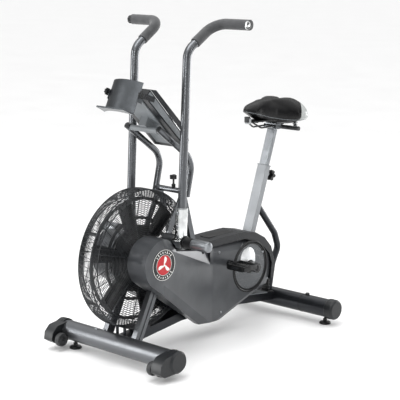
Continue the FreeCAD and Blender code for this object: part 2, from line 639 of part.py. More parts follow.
def belt_loop(label, extra, width):
    """The outline of a belt round both pulleys, extra outside their faces."""
    big, small = D.pulley_radius + extra, D.fan_pulley_radius + extra
    gap = FAN - CRANK
    run = math.atan2(gap.z, gap.y)
    spread = math.acos((big - small) / gap.Length)
    shapes = []
    for centre, radius, start, end in ((CRANK, big, run + spread, run - spread + 2 * math.pi),
                                       (FAN, small, run - spread, run + spread)):
        circle = Part.Circle(V(centre.y, centre.z, 0), UP, radius)
        shapes.append(Part.ArcOfCircle(circle, start, end))
    shapes.append(Part.LineSegment(shapes[0].EndPoint, shapes[1].StartPoint))
    shapes.append(Part.LineSegment(shapes[1].EndPoint, shapes[0].StartPoint))
    return slab(label, "YZ_Plane", shapes, width, D.belt_x)


bearings()
crank_support()
drive_pulley()
node("crank_axle", rod("crank_axle", "axle_radius", "2 * axle_half", CRANK - ACROSS * D.axle_half))
disc_left = crank_disc()
node("crank_discs", group("crank_discs", disc_left, opposite("crank_disc_right", disc_left)))
arm = crank_arm()
node("crank_arm_left", arm)
node("crank_arm_right", opposite("crank_arm_right", arm))
spindle = rod("spindle_bar", "spindle_radius", "spindle_length",
              arm_tip(D.crank_length) + ACROSS * D.arm_start)
node("pedal_spindles", group("pedal_spindles", spindle, opposite("spindle_right", spindle)))
pedal_left = pedal()
node("pedal_left", pedal_left)
node("pedal_right", opposite("pedal_right", pedal_left))
node("drive_belt", cut("drive_belt", belt_loop("belt_outside", D.belt_gap + D.belt_thick, "belt_width"),
                       belt_loop("belt_inside", D.belt_gap, "belt_width + 2")))


# ---------------------------------------------------------------- shroud

SHROUD_TAIL = [(402, 190), (408, 240), (392, 282), (348, 324), (304, 350), (233, 371)]


def shroud_side_points():
    """Side outline: the round drum in front, the keel below, the tail round the crank."""
    keel = [(-58, 76), (24, 66), (78, 62), (170, 92), (265, 125), (381, 156)]
    to_tip = V(0, keel[0][0] - D.drum_y, keel[0][1] - D.drum_z)
    aim_angle = math.degrees(math.atan2(to_tip.z, to_tip.y))
    touch = math.degrees(math.acos(D.drum_radius / to_tip.Length))
    drum = circle_points(D.drum_y, D.drum_z, D.drum_radius, 20, 360 + aim_angle - touch, 28)
    return drum + keel + SHROUD_TAIL + [(52, SHROUD_TAIL[-1][1]), (16, 360)]


def shroud_plan_points(wall):
    """Plan outline of the left shell: wide over the drum, narrowing to the crank."""
    front, rear = D.drum_y - D.drum_radius - 4, SHROUD_TAIL[1][0]
    face_x, rear_x = D.drum_face_x - wall, D.shroud_rear_x - wall
    edge = front + 6
    return [(D.shroud_cage_gap_x - wall, front + wall), (face_x - 6, front + wall), (face_x, edge + wall),
            (face_x, D.drum_y), (rear_x, D.shroud_crease_y), (rear_x, rear - 104), (rear_x - 16, rear - wall),
            (D.shroud_seam_x - wall, rear - wall), (D.shroud_seam_x - wall, D.fan_y + D.cage_radius + 6),
            (D.shroud_cage_gap_x - wall, D.fan_y + D.cage_radius + 6)]


def facet_cutter(label, corners, wall, y_limits):
    """Everything beyond the plane through three corners moved inwards by the wall, between two y."""
    first, second, third = [V(*corner) for corner in corners]
    outward = (second - first).cross(third - first).normalize()
    if outward.x < 0:
        outward = -outward
    beyond = rod(label + "_side", "8 * drum_radius", "drum_radius", first - outward * wall, outward)
    length = y_limits[1] - y_limits[0]
    limit = block(label + "_limit", ("4 * drum_face_x", f"{length}", "1200"),
                  side(y_limits[0] + length / 2, 300))
    return common(label, beyond, limit)


def shroud_facets(label, wall):
    """The slanted faces: behind the lever, along the keel and over the crank."""
    face, rear = D.drum_face_x, D.shroud_rear_x
    crease = D.shroud_crease_y
    upper = [(face - 20, -236, 409), (rear + 5, crease - 24, 311), (rear - 11, crease - 20, 359)]
    keel = [(face - 37, -161, 188), (rear + 9, crease - 39, 81), (rear + 20, -154, 112)]
    over = [(rear, crease + 33, 347), (rear, crease + 198, 331), (rear - 18, crease + 33, 372)]
    low = [(rear, crease + 14, 66), (rear, 300, 152), (rear - 8, 300, 136)]
    spans = ((upper, D.drum_y, crease - 20), (keel, D.drum_y, crease), (over, crease + 6, 420),
             (low, crease + 10, 420))
    return [facet_cutter(f"{label}_{i}", corners, wall, (start, end))
            for i, (corners, start, end) in enumerate(spans)]


def shroud_shell():
    solids = []
    for label, wall in (("shroud_outer", 0.0), ("shroud_inner", D.shroud_wall)):
        points = shroud_side_points()
        profile = slab(label + "_side", "YZ_Plane", edges(inset(points, wall) if wall else points),
                       "4 * drum_face_x")
        plan = slab(label + "_plan", "XY_Plane", edges(shroud_plan_points(wall)), "1200")
        solids.append(cut(label, common(label + "_block", profile, plan),
                          fuse(label + "_facets", *shroud_facets(label + "_facet", wall))))
    shell = cut("shroud_shell", *solids)
    opening = rod("shroud_opening", "opening_radius", "80", CRANK + ACROSS * D.shroud_seam_x)
    notch = slab("shroud_strut_notch", "YZ_Plane", edges(strip(STRUT_FOOT, PIVOT, D.strut_width + 8)),
                 "strut_thick + 8", D.strut_x)
    hub_room = rod("shroud_hub_room", "lever_hub_radius + 5", "110",
                   PIVOT + ACROSS * (D.shroud_cage_gap_x - 2))
    stay_room = block("shroud_stay_room", ("40", "96", "60"),
                      V(D.shroud_cage_gap_x, D.base_plate_y, D.base_plate_z - 8))
    return cut("shroud_solid", shell, fuse("shroud_openings", opening, notch, hub_room, stay_room))


def top_cover():
    """The long lid between the two shells, rolled down behind the seat tube."""
    front, low = -20, SHROUD_TAIL[0][1] - 20
    outside = [(front, 380), (front + 22, D.cover_crown_z - 4), (102, D.cover_crown_z),
               (232, D.cover_crown_z), (304, 388), (360, 358), (404, 312), (426, 250), (426, 200),
               (404, low)]
    inside = inset(outside + [(front, low)], D.cover_thick)
    inner_solid = slab("cover_inner", "YZ_Plane", edges(inside), "2 * (cover_half - cover_thick)")
    seat = [(y + 1, z + 1) for y, z in SHROUD_TAIL]
    room = seat + [(front - 20, seat[-1][1]), (front - 20, low - 20), (seat[0][0], low - 20)]
    under = slab("cover_under", "YZ_Plane", edges(room), "2 * cover_half + 4")
    outer = slab("cover_outer", "YZ_Plane", edges(outside + [(front, low)]), "2 * cover_half")
    slot = block("cover_seat_slot", ("seat_tube_width + 4", "seat_tube_depth + 34", "60"),
                 side(seat_line(D.cover_crown_z - 20).y, D.cover_crown_z - 15))
    return node("top_cover", cut("top_cover", outer, fuse("cover_room", inner_solid, under, slot)))


def seat_line(z):
    """Point of the seat tube's middle line at a height."""
    return side(D.seat_tube_top_y - (D.seat_tube_top_z - z) * math.tan(math.radians(D.seat_lean)), z)


def paired(label, piece):
    return node(label, group(label, piece, mirrored(label + "_right", piece)))


def shroud_screws():
    """Screw heads standing on the rear part of each shell."""
    places = [(72, 345), (82, 95), (372, 180), (342, 300)]
    heads = [rod(f"screw_{i}", "screw_radius", "screw_height", V(D.shroud_rear_x, y, z))
             for i, (y, z) in enumerate(places)]
    return paired("shroud_screws", group("shroud_screws_left", *heads))


shell_left = shroud_shell()
node("shroud_left", shell_left)
node("shroud_right", mirrored("shroud_right", shell_left))
top_cover()
paired("badges", rod("badge_disc", "badge_radius", "badge_thick",
                     side(D.drum_y, D.drum_z, D.drum_face_x)))
shroud_screws()


# ---------------------------------------------------------------- seat tube, post and saddle

LEAN = math.radians(D.seat_lean)
SEAT_UP = V(0, math.sin(LEAN), math.cos(LEAN))
SEAT_BACK = V(0, math.cos(LEAN), -math.sin(LEAN))
SEAT_TOP = side(D.seat_tube_top_y, D.seat_tube_top_z)


def leaned_bar(label, width, depth, length, top):
    """A bar down from top along the seat tube."""
    doc.recompute()
    thing = block(label, (width, depth, length), V(0, 0, 0), D.seat_lean)
    half = thing.Height.Value / 2
    middle = top - SEAT_UP * half
    turn = thing.Placement.Rotation
    reach = turn.multVec(V(thing.Length.Value / 2, thing.Width.Value / 2, half))
    thing.Placement = FreeCAD.Placement(middle - reach, turn)
    return thing


def seat_tube():
    outer = leaned_bar("seat_tube_outer", "seat_tube_width", "seat_tube_depth", "seat_tube_length", SEAT_TOP)
    inner = leaned_bar("seat_tube_inner", "seat_tube_width - 2 * seat_tube_wall",
                       "seat_tube_depth - 2 * seat_tube_wall", "seat_tube_length", SEAT_TOP)
    pin = SEAT_TOP - SEAT_UP * D.pin_drop
    collar = rod("pin_collar", "pin_collar_radius", "pin_collar_length",
                 pin + SEAT_BACK * (D.seat_tube_depth / 2 - 0.5), SEAT_BACK)
    pin_bore = rod("pin_bore", "pin_radius + run_gap", "60", pin, SEAT_BACK)
    shell = rod("seat_tube_shell_tool", "shell_radius", "2 * shell_half", CRANK - ACROSS * D.shell_half)
    hollow = cut("seat_tube_hollow", outer, fuse("seat_tube_tools", inner, shell))
    return node("seat_tube", cut("seat_tube", fuse("seat_tube_collared", hollow, collar), pin_bore))


def seat_guide():
    outer = leaned_bar("guide_outer", "seat_tube_width - 2 * seat_tube_wall",
                       "seat_tube_depth - 2 * seat_tube_wall", "guide_length", SEAT_TOP)
    inner = leaned_bar("guide_inner", "post_width + 2 * slide_gap", "post_depth + 2 * slide_gap",
                       "guide_length", SEAT_TOP)
    pin_bore = rod("guide_pin_bore", "pin_radius + run_gap", "60", SEAT_TOP - SEAT_UP * D.pin_drop, SEAT_BACK)
    return node("seat_guide", cut("seat_guide", outer, fuse("guide_tools", inner, pin_bore)))


def seat_post():
    top = SEAT_TOP + SEAT_UP * D.post_show
    outer = leaned_bar("post_outer", "post_width", "post_depth", "post_length", top)
    inner = leaned_bar("post_inner", "post_width - 2 * post_wall", "post_depth - 2 * post_wall",
                       "post_length", top)
    first = top - SEAT_UP * 36
    holes = [rod(f"post_hole_{i}", "post_hole_radius", "post_depth",
                 first - SEAT_UP * (D.post_hole_pitch * i), SEAT_BACK) for i in range(13)]
    return node("seat_post", cut("seat_post", outer, fuse("post_tools", inner, *holes)))


def seat_pin():
    tip = SEAT_TOP - SEAT_UP * D.pin_drop + SEAT_BACK * (D.post_depth / 2 + D.slide_gap)
    length = D.seat_tube_depth / 2 + D.pin_collar_length + 10 - D.post_depth / 2
    stem = rod("pin_stem", "pin_radius", f"{length}", tip, SEAT_BACK)
    knob_start = tip + SEAT_BACK * length
    hub = rod("pin_knob_hub", "pin_knob_radius * 0.72", "pin_knob_thick", knob_start, SEAT_BACK)
    lobes = []
    for i in range(6):
        angle = math.radians(60 * i)
        offset = (ACROSS * math.cos(angle) + SEAT_UP * math.sin(angle)) * (D.pin_knob_radius * 0.68)
        lobes.append(rod(f"pin_lobe_{i}", "pin_knob_radius * 0.32", "pin_knob_thick",
                         knob_start + offset, SEAT_BACK))
    return node("seat_pin", fuse("seat_pin", stem, hub, *lobes))


def saddle_clamp():
    top = SEAT_TOP + SEAT_UP * D.post_show
    seat = block("clamp_block", ("clamp_width", "clamp_depth", "clamp_height"),
                 top + V(0, 4, D.clamp_height / 2 + 3.4))
    barrel = rod("clamp_barrel", "9", "44", top + V(-22, -20, 14))
    neck = leaned_bar("clamp_neck", "post_width - 4", "post_depth - 4", "20", top + SEAT_UP * 14)
    below = leaned_bar("clamp_post_tool", "post_width + 2", "post_depth + 2", "60", top)
    grooves = [rod(f"clamp_groove_{name}", "rail_radius", "120",
                   V(sign * D.rail_half, top.y - 60, D.rail_z), ALONG) for name, sign in SIDES]
    return node("saddle_clamp", cut("saddle_clamp", fuse("clamp_whole", seat, barrel, neck),
                                    fuse("clamp_tools", below, *grooves)))


def saddle_rails():
    low = D.rail_z
    nose, rear = D.saddle_nose_y, D.saddle_rear_y
    wire = bent("rail_wire", [V(D.rail_half * 0.6, nose + 34, low + 29), V(D.rail_half, nose + 84, low),
                              V(D.rail_half, rear - 96, low), V(D.rail_half * 1.6, rear - 40, low + 22)],
                26, "rail_radius")
    return paired("saddle_rails", wire)


def saddle_bumpers():
    """The rubber spring bar below the rear of the saddle and the small bumper below its nose."""
    bar_y, bar_z = D.saddle_rear_y - 56, D.rail_z - D.spring_bar_radius - D.rail_radius - 0.5
    bar = rod("spring_bar", "spring_bar_radius", "2 * spring_bar_half", V(-D.spring_bar_half, bar_y, bar_z))
    posts = [rod(f"spring_post_{name}", "6", "44", V(sign * 70, bar_y, bar_z - 4), UP)
             for name, sign in SIDES]
    bumper = rod("nose_bumper", "12", "22", V(0, D.saddle_nose_y + 22, D.saddle_low_z + 1), UP)
    low = fuse("spring_bar_posts", bar, *posts)
    return node("saddle_bumpers", group("saddle_bumpers", low, bumper))


def saddle_plan(scale):
    """Pear-shaped plan of the saddle, drawn in towards its middle by scale."""
    half, nose, rear = D.saddle_half_width, D.saddle_nose_y, D.saddle_rear_y
    right = [(26, nose + 5), (38, nose + 24), (46, nose + 80), (66, nose + 138), (100, nose + 178),
             (half - 6, nose + 206), (half, nose + 240), (half - 8, nose + 274), (96, rear - 4),
             (56, rear), (20, rear - 8)]
    whole = [(x, y) for x, y in right] + [(-x, y) for x, y in reversed(right)]
    middle = nose + 0.55 * (rear - nose)
    return [(x * scale, middle + (y - middle) * scale) for x, y in whole]


def saddle():
    body = doc.addObject("PartDesign::Body", "saddle")
    sketches = []
    for i, (level, scale) in enumerate(((D.saddle_low_z, 0.86), (D.saddle_mid_z, 1.0),
                                        (D.saddle_top_z, 0.78))):
        sketch = outline(f"saddle_level_{i}", body, "XY_Plane", edges(saddle_plan(scale)))
        sketch.AttachmentOffset = FreeCAD.Placement(UP * level, FreeCAD.Rotation())
        sketches.append(sketch)
    loft = body.newObject("PartDesign::AdditiveLoft", "saddle_loft")
    loft.Profile = sketches[0]
    loft.Sections = sketches[1:]
    loft.Ruled = True
    nose, bar_y = D.saddle_nose_y, D.saddle_rear_y - 56
    room = rod("saddle_bumper_room", "12.3", "24", V(0, nose + 22, D.saddle_low_z), UP)
    posts = [rod(f"saddle_post_room_{name}", "6.3", "50", V(sign * 70, bar_y, D.rail_z - 16), UP)
             for name, sign in SIDES]
    rails = [block(f"saddle_rail_room_{name}", ("15", "62", "26"),
                   V(sign * D.rail_half * 0.8, nose + 54, D.rail_z + 22)) for name, sign in SIDES]
    return node("saddle", cut("saddle_cut", body, fuse("saddle_rooms", room, *posts, *rails)))


def rear_brace():
    tube = bent("brace_tube", [side(369, 500), side(497, 346), side(522, 282), side(486, 216), side(462, 96)],
                D.brace_bend, "brace_radius", "brace_radius - brace_wall")
    tools = fuse("brace_tools", leaned_bar("brace_seat_tool", "seat_tube_width", "seat_tube_depth",
                                           "seat_tube_length", SEAT_TOP),
                 stabilizer_tool("brace_stabilizer_tool", REAR),
                 slab("brace_beam_tool", "YZ_Plane", edges(
                     [(342, beam_height(342)), (512, beam_height(512)), (512, 40), (342, 40)]), "80"))
    return node("rear_brace", cut("rear_brace", tube, tools))


seat_tube()
seat_guide()
seat_post()
seat_pin()
saddle_clamp()
saddle_rails()
saddle_bumpers()
saddle()
rear_brace()


# ---------------------------------------------------------------- mast and console

def mast_foot():
    """Two A-shaped stays, their crossbar, the base plate and the post that carries it."""
    cross = side(D.crossbar_low_y, D.crossbar_low_z)
    bar = rod("low_crossbar", "crossbar_radius", "2 * mast_x", cross - ACROSS * D.mast_x)
    plate = block("mast_base_plate", ("2 * stay_x + stay_thick + 4", "base_plate_depth", "base_plate_thick"),
                  side(D.base_plate_y, D.base_plate_z))
    top = D.base_plate_z - D.base_plate_thick / 2
    post = block("centre_post", ("post_square", "post_square", f"{top - D.beam_crown_z}"),
                 side(D.centre_post_y, (top + D.beam_crown_z) / 2))
    legs = []
    for name, sign in SIDES:
        front = slab(f"stay_front_{name}", "YZ_Plane", edges(strip(PIVOT, cross, D.stay_width)),
                     "stay_thick", sign * D.stay_x)
        rear = slab(f"stay_rear_{name}", "YZ_Plane", edges(strip(
            side(D.base_plate_y - 6, D.base_plate_z), cross, D.stay_width)), "stay_thick", sign * D.stay_x)
        legs += [front, rear]
    hub = rod("stay_hub_tool", "pivot_hub_radius", "4 * lever_x", PIVOT - ACROSS * (2 * D.lever_x))
    tubes = [mast_tube(f"mast_tool_{name}", sign, None) for name, sign in SIDES]
    cage = rod("mast_cage_room", "cage_radius + cage_room", "2 * cage_room_half",
               FAN - ACROSS * D.cage_room_half)
    whole = fuse("mast_foot_whole", bar, plate, post, *legs)
    return node("mast_foot", cut("mast_foot", whole, fuse("mast_foot_tools", hub, cage, *tubes)))


def mast_tube(label, sign, inner):
    x = sign * D.mast_x
    corners = [V(x, D.mast_low_y, D.mast_low_z), V(x, D.mast_knee_y, D.mast_knee_z),
               V(x, D.mast_top_y, D.mast_top_z)]
    return bent(label, corners, D.mast_bend, "mast_radius", inner)


SLOPE = math.radians(D.console_slope)


UPHILL, OVER = V(0, -math.cos(SLOPE), math.sin(SLOPE)), V(0, math.sin(SLOPE), math.cos(SLOPE))
CONSOLE = side(D.console_low_y, D.console_low_z)


def sloped(uphill, over, x=0.0):
    """Point of the console's own frame: uphill from its low end, over its underside."""
    return CONSOLE + UPHILL * uphill + OVER * over + ACROSS * x


def sloped_points(pairs):
    return [(p.y, p.z) for p in (sloped(a, o) for a, o in pairs)]


def console_support():
    """The upper crossbar, its bracket and the mounting plate below the console."""
    cross = side(D.crossbar_high_y, D.crossbar_high_z)
    bar = rod("high_crossbar", "crossbar_radius", "2 * mast_x", cross - ACROSS * D.mast_x)
    low, high = 24, D.console_length - 8
    plate = slab("console_plate", "YZ_Plane", edges(sloped_points(
        [(high, -4), (low, -4), (low, 0), (high, 0)])), "104")
    place, depth = (cross - CONSOLE).dot(UPHILL), (cross - CONSOLE).dot(OVER)
    rib = slab("console_rib", "YZ_Plane", edges(sloped_points(
        [(place + 24, depth), (place - 24, depth), (place - 34, -2), (place + 34, -2)])), "36")
    tubes = [mast_tube(f"bar_tool_{name}", sign, None) for name, sign in SIDES]
    return node("console_support", cut("console_support", fuse("console_support_whole", bar, plate, rib),
                                       fuse("console_support_tools", *tubes)))


def console_body():
    """The display housing, with an ear on each side that carries the holder."""
    high, over = D.console_length, D.console_depth
    housing = slab("console_housing", "YZ_Plane", edges(sloped_points(
        [(high, 0), (0, 0), (0, over - 26), (40, over), (high - 26, over), (high, over - 18)])),
        "2 * console_half - 8")
    pivot = side(D.holder_y, D.holder_z)
    ears = []
    for name, sign in SIDES:
        arm_points = strip(sloped(high - 40, 22), pivot, 20)
        x = sign * (D.console_half - 1.5)
        ears.append(slab(f"ear_{name}", "YZ_Plane", edges(arm_points), "5", x))
        ears.append(rod(f"ear_boss_{name}", "holder_knob_radius", "5", pivot + ACROSS * (x - 2.5)))
    bore = rod("ear_bore", "holder_pin_radius + run_gap", "4 * console_half",
               pivot - ACROSS * (2 * D.console_half))
    screen = slab("console_screen_room", "YZ_Plane", edges(sloped_points(
        [(high - 60, over - 2), (110, over - 2), (110, over + 4), (high - 60, over + 4)])),
        "2 * display_half + 1")
    wells = [rod(f"button_well_{name}", "button_radius + 0.4", "12",
                 sloped(70, over - 6, sign * D.button_spacing / 2), OVER)
             for name, sign in SIDES]
    return node("console_body", cut("console_body", fuse("console_whole", housing, *ears),
                                    fuse("console_rooms", bore, screen, *wells)))


def console_display():
    high, low, over = D.console_length - 60.5, 110.5, D.console_depth
    return node("console_display", slab("console_display", "YZ_Plane", edges(sloped_points(
        [(high, over - 2), (low, over - 2), (low, over), (high, over)])),
        "2 * display_half"))


def console_button(name, sign):
    start = sloped(70, D.console_depth - 2, sign * D.button_spacing / 2)
    return node(f"console_button_{name}", rod(f"console_button_{name}", "button_radius", "button_height",
                                              start, OVER))


def holder():
    """A bowed front plate with a shelf at its foot, hung on two pins."""
    half, bulge = D.holder_half, D.holder_bulge
    radius = (half * half + bulge * bulge) / (2 * bulge)
    spread = math.asin(half / radius)
    centre = radius - bulge
    points = []
    for arc_radius, order in ((radius, 1), (radius - D.holder_wall, -1)):
        arc = [(arc_radius * math.sin(spread * i / 6), centre - arc_radius * math.cos(spread * i / 6))
               for i in range(-6, 7)]
        points += arc[::order]
    plate = slab("holder_plate", "XY_Plane", edges(points), "holder_height")
    shelf = slab("holder_shelf", "XY_Plane", edges(points[:13] + [(half - 6, -bulge - 24),
                                                                  (-half + 6, -bulge - 24)]), "6")
    shelf.Placement = FreeCAD.Placement(UP * (-D.holder_height / 2 + 3), FreeCAD.Rotation())
    cheeks = [block(f"holder_cheek_{name}", ("4", "26", "34"), V(sign * (half - 1), 8, 4))
              for name, sign in SIDES]
    whole = fuse("holder_upright", plate, shelf, *cheeks)
    whole.Placement = FreeCAD.Placement(
        V(0, D.holder_y - 3, D.holder_z - 14), FreeCAD.Rotation(ACROSS, -D.holder_lean))
    pins = []
    for name, sign in SIDES:
        start = side(D.holder_y, D.holder_z, sign * (half - 2))
        pins.append(rod(f"holder_pin_{name}", "holder_pin_radius", "console_half - holder_half + 6",
                        start, ACROSS * sign))
        pins.append(rod(f"holder_knob_{name}", "holder_knob_radius", "8",
                        side(D.holder_y, D.holder_z, sign * (D.console_half + 1.6)), ACROSS * sign))
    return node("holder", fuse("holder", whole, *pins))


def mast_knob():
    """A wing knob standing on the lower crossbar."""
    base = V(D.mast_knob_x, D.crossbar_low_y, D.crossbar_low_z + D.crossbar_radius)
    stem = rod("mast_knob_stem", "4", "34", base + UP * 0.3, UP)
    collar = rod("mast_knob_collar", "8", "12", base + UP * 0.3, UP)
    head = rod("mast_knob_hub", "9", "16", base + UP * 32, UP)
    wings = [rod(f"mast_knob_wing_{i}", "6", "16",
                 base + UP * 32 + V(math.cos(2.1 * i), math.sin(2.1 * i), 0) * (D.mast_knob_radius - 6), UP)
             for i in range(3)]
    return node("mast_knob", fuse("mast_knob", stem, collar, head, *wings))


mast_foot()
paired("mast_tubes", mast_tube("mast_tube_left", 1, "mast_radius - mast_wall"))
for name, sign in SIDES:
    console_button(name, sign)
console_support()
console_body()
console_display()
holder()
mast_knob()


# ---------------------------------------------------------------- check and export

doc.recompute()
for thing in doc.Objects:
    if "Invalid" in thing.State or "Error" in thing.State:
        raise RuntimeError(f"{thing.Name} failed: {thing.State}")
for label, thing in nodes.items():
    if thing.Shape.isNull() or not thing.Shape.isValid() or not thing.Shape.Solids:
        raise RuntimeError(f"{label} has no valid solid")

os.makedirs("parts", exist_ok=True)
for label, thing in nodes.items():
    thing.Shape.exportStep(f"parts/{label}.step")
print(len(nodes), "sub-parts written")
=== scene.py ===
"""Air bike: looks built around the packed frame. Every place comes from the frame, in metres."""
import json
import math

import bmesh
import bpy
from mathutils import Matrix, Vector


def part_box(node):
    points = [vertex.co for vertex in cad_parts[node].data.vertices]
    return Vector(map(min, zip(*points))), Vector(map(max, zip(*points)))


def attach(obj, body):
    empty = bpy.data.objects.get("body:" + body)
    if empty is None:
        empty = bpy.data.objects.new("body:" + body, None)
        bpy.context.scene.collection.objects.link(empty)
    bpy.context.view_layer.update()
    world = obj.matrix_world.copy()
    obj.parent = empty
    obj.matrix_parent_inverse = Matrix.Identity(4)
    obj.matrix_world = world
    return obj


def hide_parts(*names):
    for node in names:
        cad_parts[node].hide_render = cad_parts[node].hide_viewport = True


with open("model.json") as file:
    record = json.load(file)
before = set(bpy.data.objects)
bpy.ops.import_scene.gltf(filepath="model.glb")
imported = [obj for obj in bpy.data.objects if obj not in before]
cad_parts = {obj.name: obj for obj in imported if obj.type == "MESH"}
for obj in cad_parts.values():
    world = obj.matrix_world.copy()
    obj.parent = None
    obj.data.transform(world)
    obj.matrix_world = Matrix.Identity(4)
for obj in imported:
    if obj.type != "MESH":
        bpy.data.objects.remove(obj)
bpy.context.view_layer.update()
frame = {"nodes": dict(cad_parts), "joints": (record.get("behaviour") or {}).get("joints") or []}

bl_info = {
    "name": "Air bike finish",
    "version": (1, 0, 0),
    "blender": (4, 5, 0),
    "location": "3D View > Sidebar > Air bike",
    "description": "Builds the finished surfaces of an air bike around its packed frame",
    "category": "Object",
}

MM = 0.001
FRONT_TUBE, REAR_TUBE = (-432, 68), (495, 68)  # y and z of the floor tubes' axes, in mm
CROSSBARS = ((-276, 872), (-135, 622))  # y and z of the mast's upper and lower crossbars, in mm
SHELL_FACE = 65 * MM  # half the width over the shells behind the drum
MAST_TUBE_RADIUS = 12.5 * MM
X_AXIS, Y_AXIS, Z_AXIS = Vector((1, 0, 0)), Vector((0, 1, 0)), Vector((0, 0, 1))
JOINTS = {joint["name"]: joint for joint in frame["joints"]}
CRANK = Vector(JOINTS["crank_spin"]["pos_m"])
FAN = Vector(JOINTS["fan_spin"]["pos_m"])
LEVER = Vector((0, *JOINTS["lever_left_swing"]["pos_m"][1:]))
HOLDER = Vector(JOINTS["holder_tilt"]["pos_m"])
SEAT_UP = Vector(JOINTS["seat_height"]["axis"]).normalized()
SEAT_BACK = Vector(JOINTS["seat_pin_pull"]["axis"]).normalized()
PRESS = Vector(JOINTS["button_left_press"]["axis"]).normalized()
SIDES = (("left", 1), ("right", -1))


# ---------------------------------------------------------------- colours and nodes

def linear(code):
    """Linear colour, with alpha, of an sRGB hex code."""
    channels = [int(code[i:i + 2], 16) / 255 for i in (0, 2, 4)]
    return tuple(c / 12.92 if c <= 0.04045 else ((c + 0.055) / 1.055) ** 2.4 for c in channels) + (1.0,)


def add_node(tree, kind, inputs=None, **settings):
    """Adds a node, sets its own settings, then sets or links its inputs."""
    node = tree.nodes.new(kind)
    for name, value in settings.items():
        setattr(node, name, value)
    for key, value in (inputs or {}).items():
        if isinstance(value, bpy.types.NodeSocket):
            tree.links.new(value, node.inputs[key])
        else:
            node.inputs[key].default_value = value
    return node


def per_mm(size):
    """Texture scale whose features are about this many millimetres across."""
    return 1000 / size


def surface(name, **sockets):
    """A material whose one Principled shader has these constants, and the coordinates of its patterns."""
    material = bpy.data.materials.new(name)
    material.use_nodes = True
    shader = material.node_tree.nodes["Principled BSDF"]
    for socket, value in sockets.items():
        shader.inputs[socket.replace("_", " ")].default_value = value
    coords = add_node(material.node_tree, "ShaderNodeTexCoord").outputs["Object"]
    return material, material.node_tree, shader, coords


def two_tone(tree, factor, first, last, start=0.0, end=1.0):
    """Goes from the first colour to the last as the factor goes from start to end."""
    ramp = add_node(tree, "ShaderNodeValToRGB", {"Fac": factor})
    low, high = ramp.color_ramp.elements
    low.color, low.position, high.color, high.position = first, start, last, end
    return ramp.outputs["Color"]


def tone(tree, shader, coords, dark, light, size, detail=3.0):
    """Drifts the base colour between two tones, over patches of this many millimetres."""
    patches = add_node(tree, "ShaderNodeTexNoise", {"Vector": coords, "Scale": per_mm(size), "Detail": detail})
    blend = two_tone(tree, patches.outputs["Fac"], dark, light, 0.3, 0.7)
    tree.links.new(blend, shader.inputs["Base Color"])
    return blend


def roughen(tree, shader, coords, low, high, size):
    """Varies the roughness between two values, as handling and wiping leave it."""
    smears = add_node(tree, "ShaderNodeTexNoise", {"Vector": coords, "Scale": per_mm(size), "Detail": 5.0})
    spread = add_node(tree, "ShaderNodeMapRange", {"Value": smears.outputs["Fac"], "From Min": 0.3,
                                                   "From Max": 0.7, "To Min": low, "To Max": high})
    tree.links.new(spread.outputs["Result"], shader.inputs["Roughness"])


def emboss(tree, shader, height, depth, strength=1.0):
    """Raises the surface by depth millimetres where the height is 1."""
    bump = add_node(tree, "ShaderNodeBump", {"Height": height, "Distance": depth * MM, "Strength": strength})
    tree.links.new(bump.outputs["Normal"], shader.inputs["Normal"])


def ripple(tree, shader, coords, size, depth, detail=2.0):
    """Raises soft waves of this many millimetres across, by depth millimetres."""
    waves = add_node(tree, "ShaderNodeTexNoise", {"Vector": coords, "Scale": per_mm(size), "Detail": detail})
    emboss(tree, shader, waves.outputs["Fac"], depth)


def shade(colour, factor):
    """A colour made darker or lighter by a factor."""
    return tuple(min(1.0, c * factor) for c in colour[:3]) + (1.0,)


# ---------------------------------------------------------------- materials

def powder_coat(name, colour, metallic=0.8, low=0.3, high=0.36):
    """Metallic polyester powder coat on steel tube: orange-peel ripple and fine flake."""
    material, tree, shader, coords = surface(name, Metallic=metallic, Coat_Weight=0.15, Coat_Roughness=0.2)
    paint = tone(tree, shader, coords, shade(colour, 0.95), shade(colour, 1.05), 90)
    # flake is 0.05 mm in the real paint, and drawn 1.2 mm across so that it shows
    flake = add_node(tree, "ShaderNodeTexVoronoi", {"Vector": coords, "Scale": per_mm(1.2)})
    sparkle = add_node(tree, "ShaderNodeMapRange", {"Value": flake.outputs["Distance"], "From Min": 0.0,
                                                    "From Max": 0.5, "To Min": 1.22, "To Max": 0.94})
    lit = add_node(tree, "ShaderNodeVectorMath", {0: paint, "Scale": sparkle.outputs["Result"]},
                   operation="SCALE")
    tree.links.new(lit.outputs["Vector"], shader.inputs["Base Color"])
    roughen(tree, shader, coords, low, high, 60)
    ripple(tree, shader, coords, 2.2, 0.07)
    return material


def brushed_plate(name, colour, axis_scale):
    """Nickel-plated steel, linished along its length: fine streaks that stretch the highlight."""
    material, tree, shader, coords = surface(name, Metallic=0.92)
    lanes = add_node(tree, "ShaderNodeMapping", {"Vector": coords, "Scale": axis_scale})
    streaks = add_node(tree, "ShaderNodeTexNoise", {"Vector": lanes.outputs["Vector"],
                                                    "Scale": per_mm(1.0), "Detail": 4.0})
    tone(tree, shader, coords, shade(colour, 0.84), shade(colour, 1.08), 30)
    spread = add_node(tree, "ShaderNodeMapRange", {"Value": streaks.outputs["Fac"], "To Min": 0.2,
                                                   "To Max": 0.42})
    tree.links.new(spread.outputs["Result"], shader.inputs["Roughness"])
    emboss(tree, shader, streaks.outputs["Fac"], 0.05)
    return material


def polished_chrome():
    """Bright chrome plate: mirror-like, with faint cloudy wipe marks."""
    material, tree, shader, coords = surface("polished_chrome_plate", Metallic=1.0)
    tone(tree, shader, coords, linear("b9bbbb"), linear("e4e6e6"), 35)
    roughen(tree, shader, coords, 0.05, 0.17, 25)
    ripple(tree, shader, coords, 9, 0.04)
    return material


